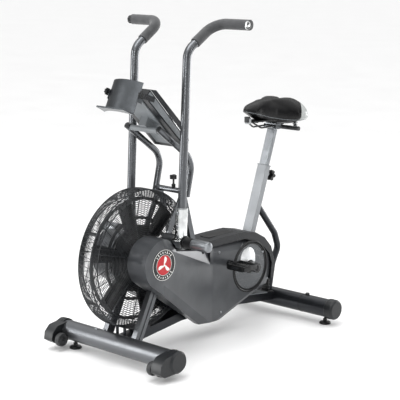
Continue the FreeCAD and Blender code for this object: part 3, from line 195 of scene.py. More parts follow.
def black_enamel(name, code, low=0.22, high=0.4):
    """Black dip enamel over steel wire and sheet: glossy, a little uneven where it ran."""
    material, tree, shader, coords = surface(name, Metallic=0.25, Coat_Weight=0.35, Coat_Roughness=0.18)
    tone(tree, shader, coords, shade(linear(code), 0.7), shade(linear(code), 1.35), 28)
    roughen(tree, shader, coords, low, high, 14)
    ripple(tree, shader, coords, 4, 0.08, 3.0)
    return material


def moulded_plastic(name, colour, low, high, grain=1.4, depth=0.06, metallic=0.0, coat=0.0):
    """Injection-moulded ABS or nylon with a spark-eroded grain from the tool."""
    material, tree, shader, coords = surface(name, Metallic=metallic, Coat_Weight=coat, Coat_Roughness=0.22,
                                             IOR=1.53, Specular_IOR_Level=0.32)
    tone(tree, shader, coords, shade(colour, 0.88), shade(colour, 1.12), 70)
    roughen(tree, shader, coords, low, high, 55)
    # the tool's grain is 0.3 mm, and drawn coarser so that it shows
    pits = add_node(tree, "ShaderNodeTexVoronoi", {"Vector": coords, "Scale": per_mm(grain)},
                    feature="SMOOTH_F1")
    emboss(tree, shader, pits.outputs["Distance"], depth)
    return material


def speckled_nylon():
    """Glass-filled nylon of the crank discs: pale fibre specks in a dark matrix."""
    material, tree, shader, coords = surface("glass_filled_nylon", IOR=1.53)
    specks = add_node(tree, "ShaderNodeTexVoronoi", {"Vector": coords, "Scale": per_mm(3.2)})
    mix = two_tone(tree, specks.outputs["Distance"], linear("a4a7a9"), linear("45484b"), 0.12, 0.34)
    tree.links.new(mix, shader.inputs["Base Color"])
    roughen(tree, shader, coords, 0.32, 0.5, 20)
    emboss(tree, shader, specks.outputs["Distance"], 0.12)
    return material


def foam_rubber():
    """Closed-cell nitrile foam of the grips: matt, with small open cells on its skin."""
    material, tree, shader, coords = surface("closed_cell_foam", IOR=1.5, Sheen_Weight=0.25, Sheen_Roughness=0.5)
    tone(tree, shader, coords, linear("2a2b2d"), linear("3b3c3e"), 24)
    roughen(tree, shader, coords, 0.62, 0.82, 12)
    cells = add_node(tree, "ShaderNodeTexVoronoi", {"Vector": coords, "Scale": per_mm(1.6)})
    emboss(tree, shader, cells.outputs["Distance"], 0.18)
    return material


def moulded_rubber():
    """Carbon-black rubber of wheels, bumpers and belt: dull, slightly dusty."""
    material, tree, shader, coords = surface("moulded_rubber", IOR=1.52)
    tone(tree, shader, coords, linear("1d1e1f"), linear("313234"), 15)
    roughen(tree, shader, coords, 0.5, 0.75, 10)
    ripple(tree, shader, coords, 1.5, 0.08, 4.0)
    return material


def saddle_vinyl(corners, reach):
    """Coated vinyl with a pressed leather grain; silver panels at the rear corners, sewn along an arc."""
    material, tree, shader, coords = surface("pressed_grain_vinyl", IOR=1.5, Coat_Weight=0.1, Coat_Roughness=0.15,
                                             Specular_IOR_Level=0.22)
    spans = [add_node(tree, "ShaderNodeVectorMath", {0: coords, 1: corner}, operation="DISTANCE")
             for corner in corners]
    nearest = add_node(tree, "ShaderNodeMath", {0: spans[0].outputs["Value"], 1: spans[1].outputs["Value"]},
                       operation="MINIMUM").outputs[0]
    panel = add_node(tree, "ShaderNodeMapRange", {"Value": nearest, "From Min": reach - 0.4 * MM,
                                                  "From Max": reach + 0.4 * MM, "To Min": 1.0,
                                                  "To Max": 0.0}).outputs["Result"]
    wear = add_node(tree, "ShaderNodeTexNoise", {"Vector": coords, "Scale": per_mm(40), "Detail": 4.0})
    black = two_tone(tree, wear.outputs["Fac"], linear("030304"), linear("070708"))
    silver = two_tone(tree, wear.outputs["Fac"], linear("969998"), linear("b4b7b6"))
    both = add_node(tree, "ShaderNodeMix", {0: panel, 6: black, 7: silver}, data_type="RGBA")
    tree.links.new(both.outputs[2], shader.inputs["Base Color"])
    roughen(tree, shader, coords, 0.24, 0.42, 22)
    # the pressed grain is about 1 mm, drawn at 2.4 mm so that it shows
    grain = add_node(tree, "ShaderNodeTexVoronoi", {"Vector": coords, "Scale": per_mm(2.4)},
                     feature="DISTANCE_TO_EDGE")
    folds = add_node(tree, "ShaderNodeMath", {0: grain.outputs["Distance"], 1: 0.14}, operation="MINIMUM")
    away = add_node(tree, "ShaderNodeMath", {0: nearest, 1: reach}, operation="SUBTRACT")
    gap = add_node(tree, "ShaderNodeMath", {0: away.outputs[0]}, operation="ABSOLUTE")
    seam = add_node(tree, "ShaderNodeMapRange", {"Value": gap.outputs[0], "From Max": 2.2 * MM,
                                                 "To Min": -1.6, "To Max": 0.0})
    height = add_node(tree, "ShaderNodeMath", {0: folds.outputs[0], 1: seam.outputs["Result"]},
                      operation="ADD")
    emboss(tree, shader, height.outputs[0], 0.5)
    return material


def badge_resin(name, code):
    """Domed polyurethane over a printed ground: clear, wet-looking."""
    material, tree, shader, coords = surface(name, IOR=1.45, Coat_Weight=0.1, Coat_Roughness=0.05)
    tone(tree, shader, coords, shade(linear(code), 0.93), shade(linear(code), 1.05), 18)
    roughen(tree, shader, coords, 0.16, 0.26, 12)
    ripple(tree, shader, coords, 12, 0.05)
    return material


def display_glass():
    """Clear acrylic window over a liquid-crystal panel: grey-green, with a faint cell grid."""
    material, tree, shader, coords = surface("acrylic_over_liquid_crystal", IOR=1.49, Coat_Weight=0.8,
                                             Coat_Roughness=0.04)
    tone(tree, shader, coords, linear("6f7a6c"), linear("8b9685"), 60)
    roughen(tree, shader, coords, 0.1, 0.2, 20)
    grid = add_node(tree, "ShaderNodeTexChecker", {"Vector": coords, "Scale": per_mm(1.5)})
    emboss(tree, shader, grid.outputs["Fac"], 0.02)
    return material


def studio_floor(colour):
    """Matt white sweep with the slightest tooth."""
    material, tree, shader, coords = surface("painted_sweep", IOR=1.45)
    tone(tree, shader, coords, shade(colour, 0.985), colour, 900)
    roughen(tree, shader, coords, 0.42, 0.5, 400)
    ripple(tree, shader, coords, 3, 0.02)
    return material


MATERIALS = {}


def make_materials(finishes):
    """Every material of the bike, by the plain name that the pieces ask for."""
    along_seat = (1.0, 1.0, 0.05)
    saddle_low, saddle_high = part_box("saddle")
    corner_z = saddle_low.z + 0.1 * (saddle_high.z - saddle_low.z)
    corners = [(sign * (saddle_high.x - 18 * MM), saddle_high.y - 6 * MM, corner_z) for sign in (1, -1)]
    MATERIALS.update({
        "frame": powder_coat("graphite_powder_coat", finishes.frame_colour),
        "dark_frame": powder_coat("dark_powder_coat", finishes.dark_frame_colour, 0.7),
        "handle": powder_coat("grey_powder_coat", finishes.handle_colour, 0.9, 0.25, 0.3),
        "silver": powder_coat("silver_powder_coat", finishes.silver_colour, 0.35, 0.34, 0.48),
        "post": brushed_plate("linished_nickel_plate", finishes.plate_colour, along_seat),
        "plate": brushed_plate("brushed_steel_plate", linear("9a9da0"), (1.0, 0.06, 1.0)),
        "holder": brushed_plate("dark_nickel_sheet", linear("56595c"), (0.05, 1.0, 1.0)),
        "pulley": brushed_plate("turned_aluminium", linear("d9dbdc"), (1.0, 1.0, 1.0)),
        "chrome": polished_chrome(),
        "peg": brushed_plate("satin_zinc_plate", linear("86898c"), (0.05, 1.0, 1.0)),
        "wire": black_enamel("enamelled_wire", "1f2225"),
        "blade": black_enamel("enamelled_sheet", "0e0f11", 0.26, 0.42),
        "arm": black_enamel("satin_black_forging", "101113", 0.26, 0.4),
        "shroud": moulded_plastic("graphite_abs", finishes.shroud_colour, 0.28, 0.34, 1.6, 0.02, 0.3, 0.1),
        "cover": moulded_plastic("black_abs", finishes.cover_colour, 0.24, 0.38, 1.6, 0.06),
        "black": moulded_plastic("black_nylon", linear("0d0e0f"), 0.28, 0.42),
        "cap": moulded_plastic("charcoal_nylon", linear("1d1f21"), 0.28, 0.42),
        "trim": moulded_plastic("grey_abs", linear("6f7376"), 0.34, 0.46),
        "pale": moulded_plastic("pale_abs", linear("a9acae"), 0.34, 0.46, 1.6, 0.04),
        "disc": speckled_nylon(),
        "foam": foam_rubber(),
        "rubber": moulded_rubber(),
        "vinyl": saddle_vinyl(corners, 74 * MM),
        "badge_black": badge_resin("black_resin", "060607"),
        "badge_white": badge_resin("white_resin", "f2f2ef"),
        "badge_red": badge_resin("red_resin", "b40d1b"),
        "display": display_glass(),
    })


# ---------------------------------------------------------------- shape helpers

def mm(x, y, z):
    """A point or step given in millimetres."""
    return Vector((x, y, z)) * MM


def in_mm(*rows):
    """A profile given in millimetres."""
    return [(radius * MM, along * MM) for radius, along in rows]


def frame_of(direction):
    """Rotation matrix that turns +Z to a direction."""
    return direction.to_track_quat("Z", "Y").to_matrix().to_4x4()


def piece(name, bm, material, body, replaces=(), angle=32):
    """Turns a finished bmesh into a piece that rides on a body."""
    bmesh.ops.recalc_face_normals(bm, faces=bm.faces)
    return as_piece(name, bm, material, body, replaces, angle)


def as_piece(name, bm, material, body, replaces=(), angle=32):
    mesh = bpy.data.meshes.new(name)
    bm.to_mesh(mesh)
    bm.free()
    mesh.shade_smooth()
    mesh.set_sharp_from_angle(angle=math.radians(angle))
    mesh.materials.append(MATERIALS[material])
    shown = bpy.data.objects.new(name, mesh)
    bpy.context.scene.collection.objects.link(shown)
    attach(shown, body)
    if replaces:
        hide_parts(*replaces)
    return shown


def lathe(bm, profile, origin, direction, steps=32):
    """Spins a profile of (radius, place along the axis) points about an axis."""
    turn = Matrix.Translation(origin) @ frame_of(direction)
    corners = [bm.verts.new(turn @ Vector((radius, 0, along))) for radius, along in profile]
    chain = [bm.edges.new(pair) for pair in zip(corners, corners[1:])]
    bmesh.ops.spin(bm, geom=corners + chain, cent=origin, axis=direction, angle=math.tau, steps=steps,
                   use_merge=True)
    return bm


def hoop(bm, radius, wire, origin, direction=X_AXIS, steps=72, sides=5):
    """A ring of round wire."""
    turn = Matrix.Translation(origin) @ frame_of(direction)
    spot = turn @ Matrix.Translation((radius, 0, 0)) @ Matrix.Rotation(math.pi / 2, 4, "X")
    ring = bmesh.ops.create_circle(bm, segments=sides, radius=wire / 2, matrix=spot)["verts"]
    edges = list({edge for vert in ring for edge in vert.link_edges})
    bmesh.ops.spin(bm, geom=ring + edges, cent=origin, axis=direction, angle=math.tau, steps=steps,
                   use_merge=True)


def rod(bm, radius, start, end, sides=24, soft=0.0, tip=None):
    """A straight bar between two points, its rims rounded by soft."""
    run = end - start
    spot = Matrix.Translation((start + end) / 2) @ frame_of(run)
    made = bmesh.ops.create_cone(bm, cap_ends=True, segments=sides, radius1=radius,
                                 radius2=radius if tip is None else tip, depth=run.length, matrix=spot)
    if soft:
        rims = [edge for edge in {e for v in made["verts"] for e in v.link_edges}
                if edge.is_valid and any(len(face.verts) > 4 for face in edge.link_faces)]
        bmesh.ops.bevel(bm, geom=rims, offset=soft, segments=3, profile=0.5, affect="EDGES", material=-1)


def block(bm, size, centre, turn=None, soft=0.0, segments=3):
    """A box with rounded edges."""
    spot = Matrix.Translation(centre) @ (turn or Matrix.Identity(4)) @ Matrix.Diagonal((*size, 1))
    made = bmesh.ops.create_cube(bm, size=1, matrix=spot)
    if soft:
        edges = list({edge for vert in made["verts"] for edge in vert.link_edges})
        bmesh.ops.bevel(bm, geom=edges, offset=soft, segments=segments, profile=0.5, affect="EDGES",
                        material=-1)


def slab(bm, points, push, soft=0.0, segments=3):
    """A flat outline pushed along a vector, with rounded edges."""
    face = bm.faces.new([bm.verts.new(point) for point in points])
    pushed = bmesh.ops.extrude_face_region(bm, geom=[face])["geom"]
    corners = [item for item in pushed if isinstance(item, bmesh.types.BMVert)]
    bmesh.ops.translate(bm, verts=corners, vec=push)
    if soft:
        edges = list({edge for vert in corners + list(face.verts) for edge in vert.link_edges})
        bmesh.ops.bevel(bm, geom=edges, offset=soft, segments=segments, profile=0.5, affect="EDGES",
                        material=-1)


def coil(bm, radius, wire, start, end, turns, steps=20, sides=8):
    """A coil spring between two points."""
    run = end - start
    turn = Matrix.Translation(start) @ frame_of(run)
    spot = turn @ Matrix.Translation((radius, 0, 0)) @ Matrix.Rotation(math.pi / 2, 4, "X")
    ring = bmesh.ops.create_circle(bm, cap_ends=True, segments=sides, radius=wire / 2, matrix=spot)["verts"]
    faces = list({face for vert in ring for face in vert.link_faces})
    bmesh.ops.spin(bm, geom=faces, cent=start, axis=run, dvec=run / (steps * turns),
                   angle=math.tau * turns, steps=steps * turns)


def socket_screw(bm, radius, origin, direction, steps=20):
    """A domed screw head with a hexagon socket, standing on a surface."""
    profile = [(0.0, radius * 0.28), (radius * 0.42, radius * 0.28), (radius * 0.45, radius * 0.62),
               (radius * 0.75, radius * 0.55), (radius * 0.95, radius * 0.3), (radius, 0.0)]
    lathe(bm, profile, origin, direction, steps)


def weld(bm, radius, bead, origin, direction, steps=36):
    """A rippled weld bead around a tube that ends on another."""
    before = set(bm.verts)
    hoop(bm, radius + bead * 0.2, bead, origin, direction, steps, 6)
    axis = direction.normalized()
    for vert in set(bm.verts) - before:
        out = vert.co - origin
        out -= axis * out.dot(axis)
        ripple = 0.12 * math.sin(math.atan2(out.z + out.x, out.y) * 18)
        vert.co += out.normalized() * bead * ripple


def mirrored(bm):
    """Adds the same geometry on the other side of the bike."""
    bmesh.ops.mirror(bm, geom=bm.verts[:] + bm.edges[:] + bm.faces[:], axis="X", merge_dist=0)


def merged_copy(node):
    """A bmesh of a frame node with its loose triangles joined and its flat faces made whole."""
    bm = bmesh.new()
    bm.from_mesh(frame["nodes"][node].data)
    bmesh.ops.remove_doubles(bm, verts=bm.verts, dist=2e-5)
    bmesh.ops.dissolve_limit(bm, angle_limit=math.radians(0.6), verts=bm.verts, edges=bm.edges)
    return bm


def softened(node, material, body, width, segments=2, angle=38):
    """Shows a frame node with its sharp edges rounded by a width."""
    bm = merged_copy(node)
    sharp = [edge for edge in bm.edges
             if len(edge.link_faces) == 2 and edge.calc_face_angle(0) > math.radians(angle)]
    bmesh.ops.bevel(bm, geom=sharp, offset=width, segments=segments, profile=0.5, affect="EDGES",
                    clamp_overlap=True, material=-1)
    bmesh.ops.remove_doubles(bm, verts=bm.verts, dist=1e-5)
    shown = as_piece(f"{node}_finished", bm, material, body, [node], 30)
    weighting = shown.modifiers.new("flat_faces_first", "WEIGHTED_NORMAL")
    weighting.keep_sharp = True
    bake(shown)
    return shown


# ---------------------------------------------------------------- frame

def paint_nodes():
    """Gives each frame node that stays in view its own material."""
    finishes = {
        "front_stabilizer": "frame", "rear_stabilizer": "dark_frame", "rear_brace": "dark_frame",
        "crank_support": "dark_frame", "mast_tubes": "handle", "handle_tube_left": "handle",
        "handle_tube_right": "handle", "lever_shafts": "plate", "fan_axle": "plate",
        "fan_pulley": "pulley", "bearings": "plate", "crank_axle": "plate", "pedal_spindles": "plate",
        "drive_belt": "rubber", "seat_guide": "black", "saddle_rails": "arm", "badges": "badge_black",
    }
    for node, shown in frame["nodes"].items():
        shown.data.materials.clear()
        shown.data.materials.append(MATERIALS[finishes.get(node, "cap")])


def build_frame():
    """Beam, struts and stays with rounded edges, weld beads, screws, rear upright and tube plugs."""
    for node, material, slot, width in (
            ("main_beam", "dark_frame", "frame_grey", 2.2), ("front_struts", "frame", "frame_grey", 2.4),
            ("tread_plate", "trim", "trim_grey", 0.5), ("mast_foot", "handle", "silver_paint", 0.9),
            ("seat_tube", "silver", "silver_paint", 1.6), ("console_support", "trim", "trim_grey", 0.8)):
        softened(node, material, "root", width * MM)
    beads = bmesh.new()
    inner_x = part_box("mast_tubes")[1].x - 2 * MAST_TUBE_RADIUS
    for y, z in CROSSBARS:
        weld(beads, 11 * MM, 3.4 * MM, Vector((inner_x, y * MM, z * MM)), X_AXIS)
    mirrored(beads)
    piece("mast_weld_beads", beads, "handle", "root")
    screws = bmesh.new()
    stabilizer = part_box("front_stabilizer")[1].z
    for x, y in ((-110 * MM, -436 * MM), (-84 * MM, -420 * MM)):
        socket_screw(screws, 8 * MM, Vector((x, y, stabilizer - 1 * MM)), Z_AXIS)
    for sign in (1, -1):
        for y, z in (CROSSBARS[1], (-222, 476)):
            socket_screw(screws, 6 * MM, mm(sign * 65.5, y, z), X_AXIS * sign)
        for y in (-92 * MM, -42 * MM):
            socket_screw(screws, 5 * MM, Vector((sign * 40 * MM, y, 396.5 * MM)), Z_AXIS)
    piece("frame_screws", screws, "plate", "root")
    upright = bmesh.new()
    lean = Matrix.Rotation(math.radians(-2), 4, "X")
    block(upright, (34 * MM, 12 * MM, 128 * MM), mm(0, 443, 160), lean, 3 * MM)
    for i in range(9):
        block(upright, (36 * MM, 14 * MM, 5 * MM), Vector((0, (441.6 + i * 0.4) * MM, (112 + 12 * i) * MM)), lean,
              1.4 * MM)
    block(upright, (54 * MM, 40 * MM, 5 * MM), mm(0, 441, 101), Matrix.Rotation(-0.11, 4, "X"),
          1.4 * MM)
    piece("rear_upright", upright, "black", "root")
    fittings = bmesh.new()
    rear = Vector((0, *REAR_TUBE)) * MM
    for x in (165, 169, -165, -169):
        hoop(fittings, 37.9 * MM, 1.8 * MM, rear + X_AXIS * x * MM, X_AXIS, 48, 6)
    for sign in (1, -1):
        lathe(fittings, in_mm((0, 9), (7, 8.6), (9, 6), (9, 1), (11, -0.6)),
              rear + mm(sign * 186, 0, 37.6), Z_AXIS, 20)
    piece("rear_stabilizer_fittings", fittings, "black", "root")
    plugs = bmesh.new()
    for place, way in (((84, -138, 606), (0, -33, -137)), ((84, -288, 881), (0, -183, 138))):
        end = Vector(place) * MM
        lathe(plugs, in_mm((0, 3), (7, 2.4), (11, 1), (12.4, -1), (10.4, -1.4)),
              end, Vector(way).normalized(), 32)
    mirrored(plugs)
    piece("mast_tube_plugs", plugs, "cap", "root")


def build_feet():
    """End caps, transport wheels and levelling feet."""
    softened("front_caps", "cap", "root", 3.0 * MM, 3)
    softened("rear_caps", "cap", "root", 3.0 * MM, 3)
    trim = bmesh.new()
    for node, axis in (("front_caps", FRONT_TUBE), ("rear_caps", REAR_TUBE)):
        centre = Vector((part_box(node)[1].x, axis[0] * MM, axis[1] * MM))
        lathe(trim, in_mm((0, -1.6), (27, -1.2), (29, -0.2), (31, -0.2), (33, -1.6)), centre, X_AXIS, 48)
        hoop(trim, 42.1 * MM, 1.4 * MM, centre - X_AXIS * 30 * MM, X_AXIS, 48, 6)
    mirrored(trim)
    piece("cap_rings", trim, "black", "root")
    for side, _ in SIDES:
        node = f"transport_wheel_{side}"
        low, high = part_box(node)
        centre, half = (low + high) / 2, (high.x - low.x) / 2
        radius = (high.z - low.z) / 2
        wheel = bmesh.new()
        profile = [(4.3 * MM, -half), (9 * MM, -half), (10 * MM, 2 * MM - half), (18 * MM, 2.6 * MM - half),
                   (20 * MM, 0.4 * MM - half), (radius - 2 * MM, -half * 0.9), (radius - 0.4 * MM, -half * 0.55)]
        profile += [(r, -along) for r, along in reversed(profile)]
        lathe(wheel, profile + profile[:1], centre, X_AXIS, 40)
        piece(f"transport_wheel_{side}_moulded", wheel, "rubber", f"wheel_{side}", [node])
        for end in ("front", "rear"):
            name = f"{end}_foot_{side}"
            low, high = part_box(name)
            base = Vector(((low.x + high.x) / 2, (low.y + high.y) / 2, 0))
            foot = bmesh.new()
            lathe(foot, in_mm((0, 0), (22, 0), (24, 1.5), (24, 6), (21, 9), (9, 11.5), (8, 14)), base, Z_AXIS, 40)
            rod(foot, 9 * MM, base + Z_AXIS * 15 * MM, base + Z_AXIS * 22 * MM, 6, 0.6 * MM)
            threads = [(4.9 * MM, 12 * MM)]
            while threads[-1][1] < high.z - 3 * MM:
                along = threads[-1][1]
                threads += [(4.2 * MM, along + 0.75 * MM), (4.9 * MM, along + 1.5 * MM)]
            lathe(foot, threads + [(0.0, threads[-1][1])], base, Z_AXIS, 16)
            piece(f"{name}_moulded", foot, "black", name, [name])


# ---------------------------------------------------------------- cage and fan

def build_cage(sizes):
    """Two wire faces, the sloping wires at their edge and the mesh round the rim."""
    pitch, wire = sizes.wire_pitch, sizes.wire_diameter
    low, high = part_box("cage_faces")
    rim_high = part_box("cage_rim")[1]
    outer, face_x, rim_x = rim_high.z - FAN.z, high.x - 1.2 * MM, rim_high.x
    face_radius = outer - sizes.slope_width
    cage = bmesh.new()
    radius = 60 * MM
    while radius < face_radius - pitch / 2:
        hoop(cage, radius, wire, FAN + X_AXIS * (face_x - 0.6 * MM), X_AXIS, 72, 4)
        radius += pitch
    hoop(cage, face_radius, 4 * MM, FAN + X_AXIS * (face_x - 1.6 * MM), X_AXIS, 96, 6)
    slope, slope_rings = bmesh.new(), 7
    for i in range(slope_rings):
        share = (i + 1) / (slope_rings + 1)
        place = FAN + X_AXIS * (face_x - 1 * MM + (rim_x - face_x - 1 * MM) * share)
        hoop(slope, face_radius + sizes.slope_width * share, wire, place, X_AXIS, 96, 5)
    mirrored(slope)
    piece("cage_edge_wires", slope, "wire", "root", (), 60)
    hoop(cage, outer - 2.2 * MM, 4 * MM, FAN + X_AXIS * (rim_x - 2.5 * MM), X_AXIS, 96, 8)
    bars = 12
    for i in range(bars):
        angle = math.tau * (i + 0.5) / bars
        out = Vector((0, math.cos(angle), math.sin(angle)))
        spot = FAN + X_AXIS * (face_x - 3.4 * MM)
        rod(cage, 1.9 * MM, spot + out * 52 * MM, spot + out * (face_radius + 2 * MM), 6)
        edge = FAN + X_AXIS * (rim_x - 3 * MM) + out * (outer - 4 * MM)
        rod(cage, 1.9 * MM, spot + out * face_radius, edge, 6)
    mirrored(cage)
    piece("cage_wire_faces", cage, "wire", "root", ["cage_faces"], 60)
    rim = bmesh.new()
    hoops = 11
    for i in range(1, hoops):
        place = FAN + X_AXIS * (rim_x * (2 * i / hoops - 1))
        hoop(rim, outer - 2.2 * MM, wire, place, X_AXIS, 96, 4)
    ties = 96
    for i in range(ties):
        angle = math.tau * i / ties
        out = Vector((0, math.cos(angle), math.sin(angle))) * (outer - wire * 0.6)
        slant = Vector((0, -math.sin(angle), math.cos(angle))) * (6 * MM if i % 2 else -6 * MM)
        ends = [FAN + out + slant * way + X_AXIS * way * rim_x * 0.97 for way in (-1, 1)]
        rod(rim, wire / 2, *ends, 4)
    clips = 6
    for i in range(clips):
        angle = math.tau * (i + 0.5) / clips
        out = Vector((0, math.cos(angle), math.sin(angle)))
        turn = Matrix.Rotation(angle - math.pi / 2, 4, "X")
        block(rim, (rim_x * 2 - 1 * MM, 14 * MM, 1.6 * MM), FAN + out * (outer - 4.6 * MM), turn, 0.5 * MM)
    piece("cage_rim_mesh", rim, "wire", "root", ["cage_rim"], 60)


def build_fan():
    """Six broad blades between a dished hub and an outer ring, riveted at their roots."""
    softened("fan_wheel", "blade", "fan", 0.5 * MM, 1)
    leaves = bmesh.new()
    for i in range(6):
        turn = Matrix.Translation(FAN) @ Matrix.Rotation(math.radians(16 + 60 * i), 4, "X")
        leaf = [turn @ mm(1.9, y, z) for y, z in
                ((-24, 108), (26, 108), (30, 150), (36, 222), (-34, 222), (-28, 150))]
        slab(leaves, leaf, turn.to_3x3() @ mm(-3.8, 0, 0), 0.8 * MM, 1)
        for y in (-12, 6):
            ridge = [turn @ mm(0, y, z) for z in (132, 208)]
            rod(leaves, 3.4 * MM, *ridge, 8, 1 * MM)
    lathe(leaves, in_mm((150, -2.2), (162, -2.2), (162, 2.2), (150, 2.2), (150, -2.2)), FAN, X_AXIS, 96)
    piece("fan_blade_sheets", leaves, "blade", "fan")
    rivets = bmesh.new()
    for i in range(6):
        angle = math.radians(106 + 60 * i)
        out = Vector((0, math.cos(angle), math.sin(angle)))
        across = Vector((0, -out.z, out.y))
        for along, offset in ((112, -12), (112, 12), (122, 0)):
            spot = FAN + out * along * MM + across * offset * MM
            for sign in (1, -1):
                socket_screw(rivets, 4 * MM, spot + X_AXIS * sign * 1.8 * MM, X_AXIS * sign, 10)
    hub = in_mm((8.2, 30.2), (16, 32), (26, 31), (33, 26), (44, 8), (92, 3), (94, 1.5))
    lathe(rivets, hub, FAN, X_AXIS, 48)
    lathe(rivets, hub, FAN, -X_AXIS, 48)
    piece("fan_hub_and_rivets", rivets, "blade", "fan")


# ---------------------------------------------------------------- shroud and badges

def build_shroud():
    """Shells and long lid with rounded edges, the lip round each crank opening and the screws."""
    for side in ("left", "right"):
        softened(f"shroud_{side}", "shroud", "root", 2.2 * MM, 3, 14)
    softened("top_cover", "cover", "root", 3.0 * MM, 3, 20)
    lips = bmesh.new()
    lathe(lips, in_mm((101, -4), (101, 1.2), (103.5, 3.2), (107, 3.0), (109, 0.4), (106, -2), (103.6, -4),
            (101, -4)), CRANK + X_AXIS * SHELL_FACE, X_AXIS, 72)
    mirrored(lips)
    piece("crank_opening_lips", lips, "black", "root")
    groove = bmesh.new()
    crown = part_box("top_cover")[1].z
    block(groove, (52 * MM, 150 * MM, 2.4 * MM), Vector((0, 130 * MM, crown - 0.4 * MM)), None, 1.1 * MM)
    piece("lid_tray", groove, "black", "root")
    screws = bmesh.new()
    for y, z in ((72, 345), (82, 95), (372, 180), (342, 300)):
        socket_screw(screws, 5 * MM, Vector((SHELL_FACE, y * MM, z * MM)), X_AXIS)
    mirrored(screws)
    piece("shroud_screw_heads", screws, "plate", "root", ["shroud_screws"])


def build_badges():
    """A round badge on each drum: a fan of three blades on red, inside a black ring with ticks."""
    disc, white, red = bmesh.new(), bmesh.new(), bmesh.new()
    face_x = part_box("shroud_left")[1].x
    low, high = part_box("badges")
    centre = Vector((face_x, (low.y + high.y) / 2, (low.z + high.z) / 2))
    lathe(disc, in_mm((0, 1.5), (56, 1.5), (59, 1.2), (60, 0)), centre, X_AXIS, 72)
    for inner, outer in ((57.0, 58.6), (38.5, 39.8)):
        lathe(white, [(inner * MM, 1.4 * MM), ((inner + 0.3) * MM, 2.0 * MM), ((outer - 0.3) * MM, 2.0 * MM),
                      (outer * MM, 1.4 * MM)], centre, X_AXIS, 72)
    ticks = 26
    for i in range(ticks):
        angle = math.tau * i / ticks
        if abs(math.cos(angle)) > 0.85:
            continue
        out = Vector((0, math.cos(angle), math.sin(angle)))
        turn = Matrix.Rotation(angle - math.pi / 2, 4, "X")
        tall = 9 if i % 2 else 5
        block(white, (0.8 * MM, 3 * MM, tall * MM), centre + X_AXIS * 1.7 * MM + out * 48.5 * MM, turn)
    lathe(red, in_mm((0, 3.0), (14, 2.9), (28, 2.4), (38.5, 1.4)),
          centre, X_AXIS, 72)
    blades = 3
    for i in range(blades):
        turn = Matrix.Translation(centre + X_AXIS * 2.6 * MM) @ Matrix.Rotation(math.tau * i / blades, 4, "X")
        leaf = [turn @ mm(0, y, z) for y, z in
                ((-1.5, 3), (5, 8), (11, 16), (12.5, 24), (9, 31), (3.5, 33), (0.5, 26), (-0.5, 16), (-2.5, 8))]
        slab(white, leaf, X_AXIS * 1.2 * MM)
    lathe(white, in_mm((0, 4.4), (3.6, 4.2), (4.6, 2.4)), centre, X_AXIS, 24)
    for name, bm, material in (("badge_discs", disc, "badge_black"), ("badge_rings", white, "badge_white"),
                               ("badge_centres", red, "badge_red")):
        mirrored(bm)
        piece(name, bm, material, "root", ["badges"] if name == "badge_discs" else ())


# ---------------------------------------------------------------- drive

def build_drive():
    """Crank discs with their bright inlay and rings, the arms and the pulley behind them."""
    softened("crank_discs", "disc", "crank", 0.8 * MM, 2)
    softened("drive_pulley", "pulley", "crank", 0.6 * MM, 1)
    for side in ("left", "right"):
        softened(f"crank_arm_{side}", "arm", "crank", 2.6 * MM, 3)
    caps = bmesh.new()
    for sign in (1, -1):
        lathe(caps, in_mm((0, 3.6), (8, 3.4), (12, 2.0), (13.4, 0)),
              CRANK + X_AXIS * sign * 106 * MM, X_AXIS * sign, 32)
    piece("crank_bolt_caps", caps, "black", "crank")
    # bright aluminium plates in the shape of the windows, on the disc face: painted light that stands in for the
    # white light seen through the open windows
    window_light_plates = bmesh.new()
    for sign in (1, -1):
        lean = Matrix.Rotation(math.radians(0 if sign > 0 else 180), 4, "X")
        arch = [(-46, 16), (46, 16), (46, 34), (43, 52), (35, 67), (21, 78), (0, 83), (-21, 78), (-35, 67),
                (-43, 52), (-46, 34)]
        points = [CRANK + lean @ mm(sign * 63.6, y - 14, z) for y, z in arch]
        slab(window_light_plates, points, X_AXIS * sign * 1.0 * MM, 0.4 * MM, 2)
    piece("crank_disc_window_light_plates", window_light_plates, "pulley", "crank")
    rings = bmesh.new()
    for sign in (1, -1):
        centre = CRANK + X_AXIS * sign * 63.5 * MM
        lathe(rings, in_mm((93, 0), (94, 2.0), (98, 2.0), (99.4, 0)),
              centre, X_AXIS * sign, 72)
        lathe(rings, in_mm((20.5, 0), (20.5, 1.6), (27, 1.4), (29, 0)),
              centre, X_AXIS * sign, 40)
    piece("crank_disc_rings", rings, "black", "crank")


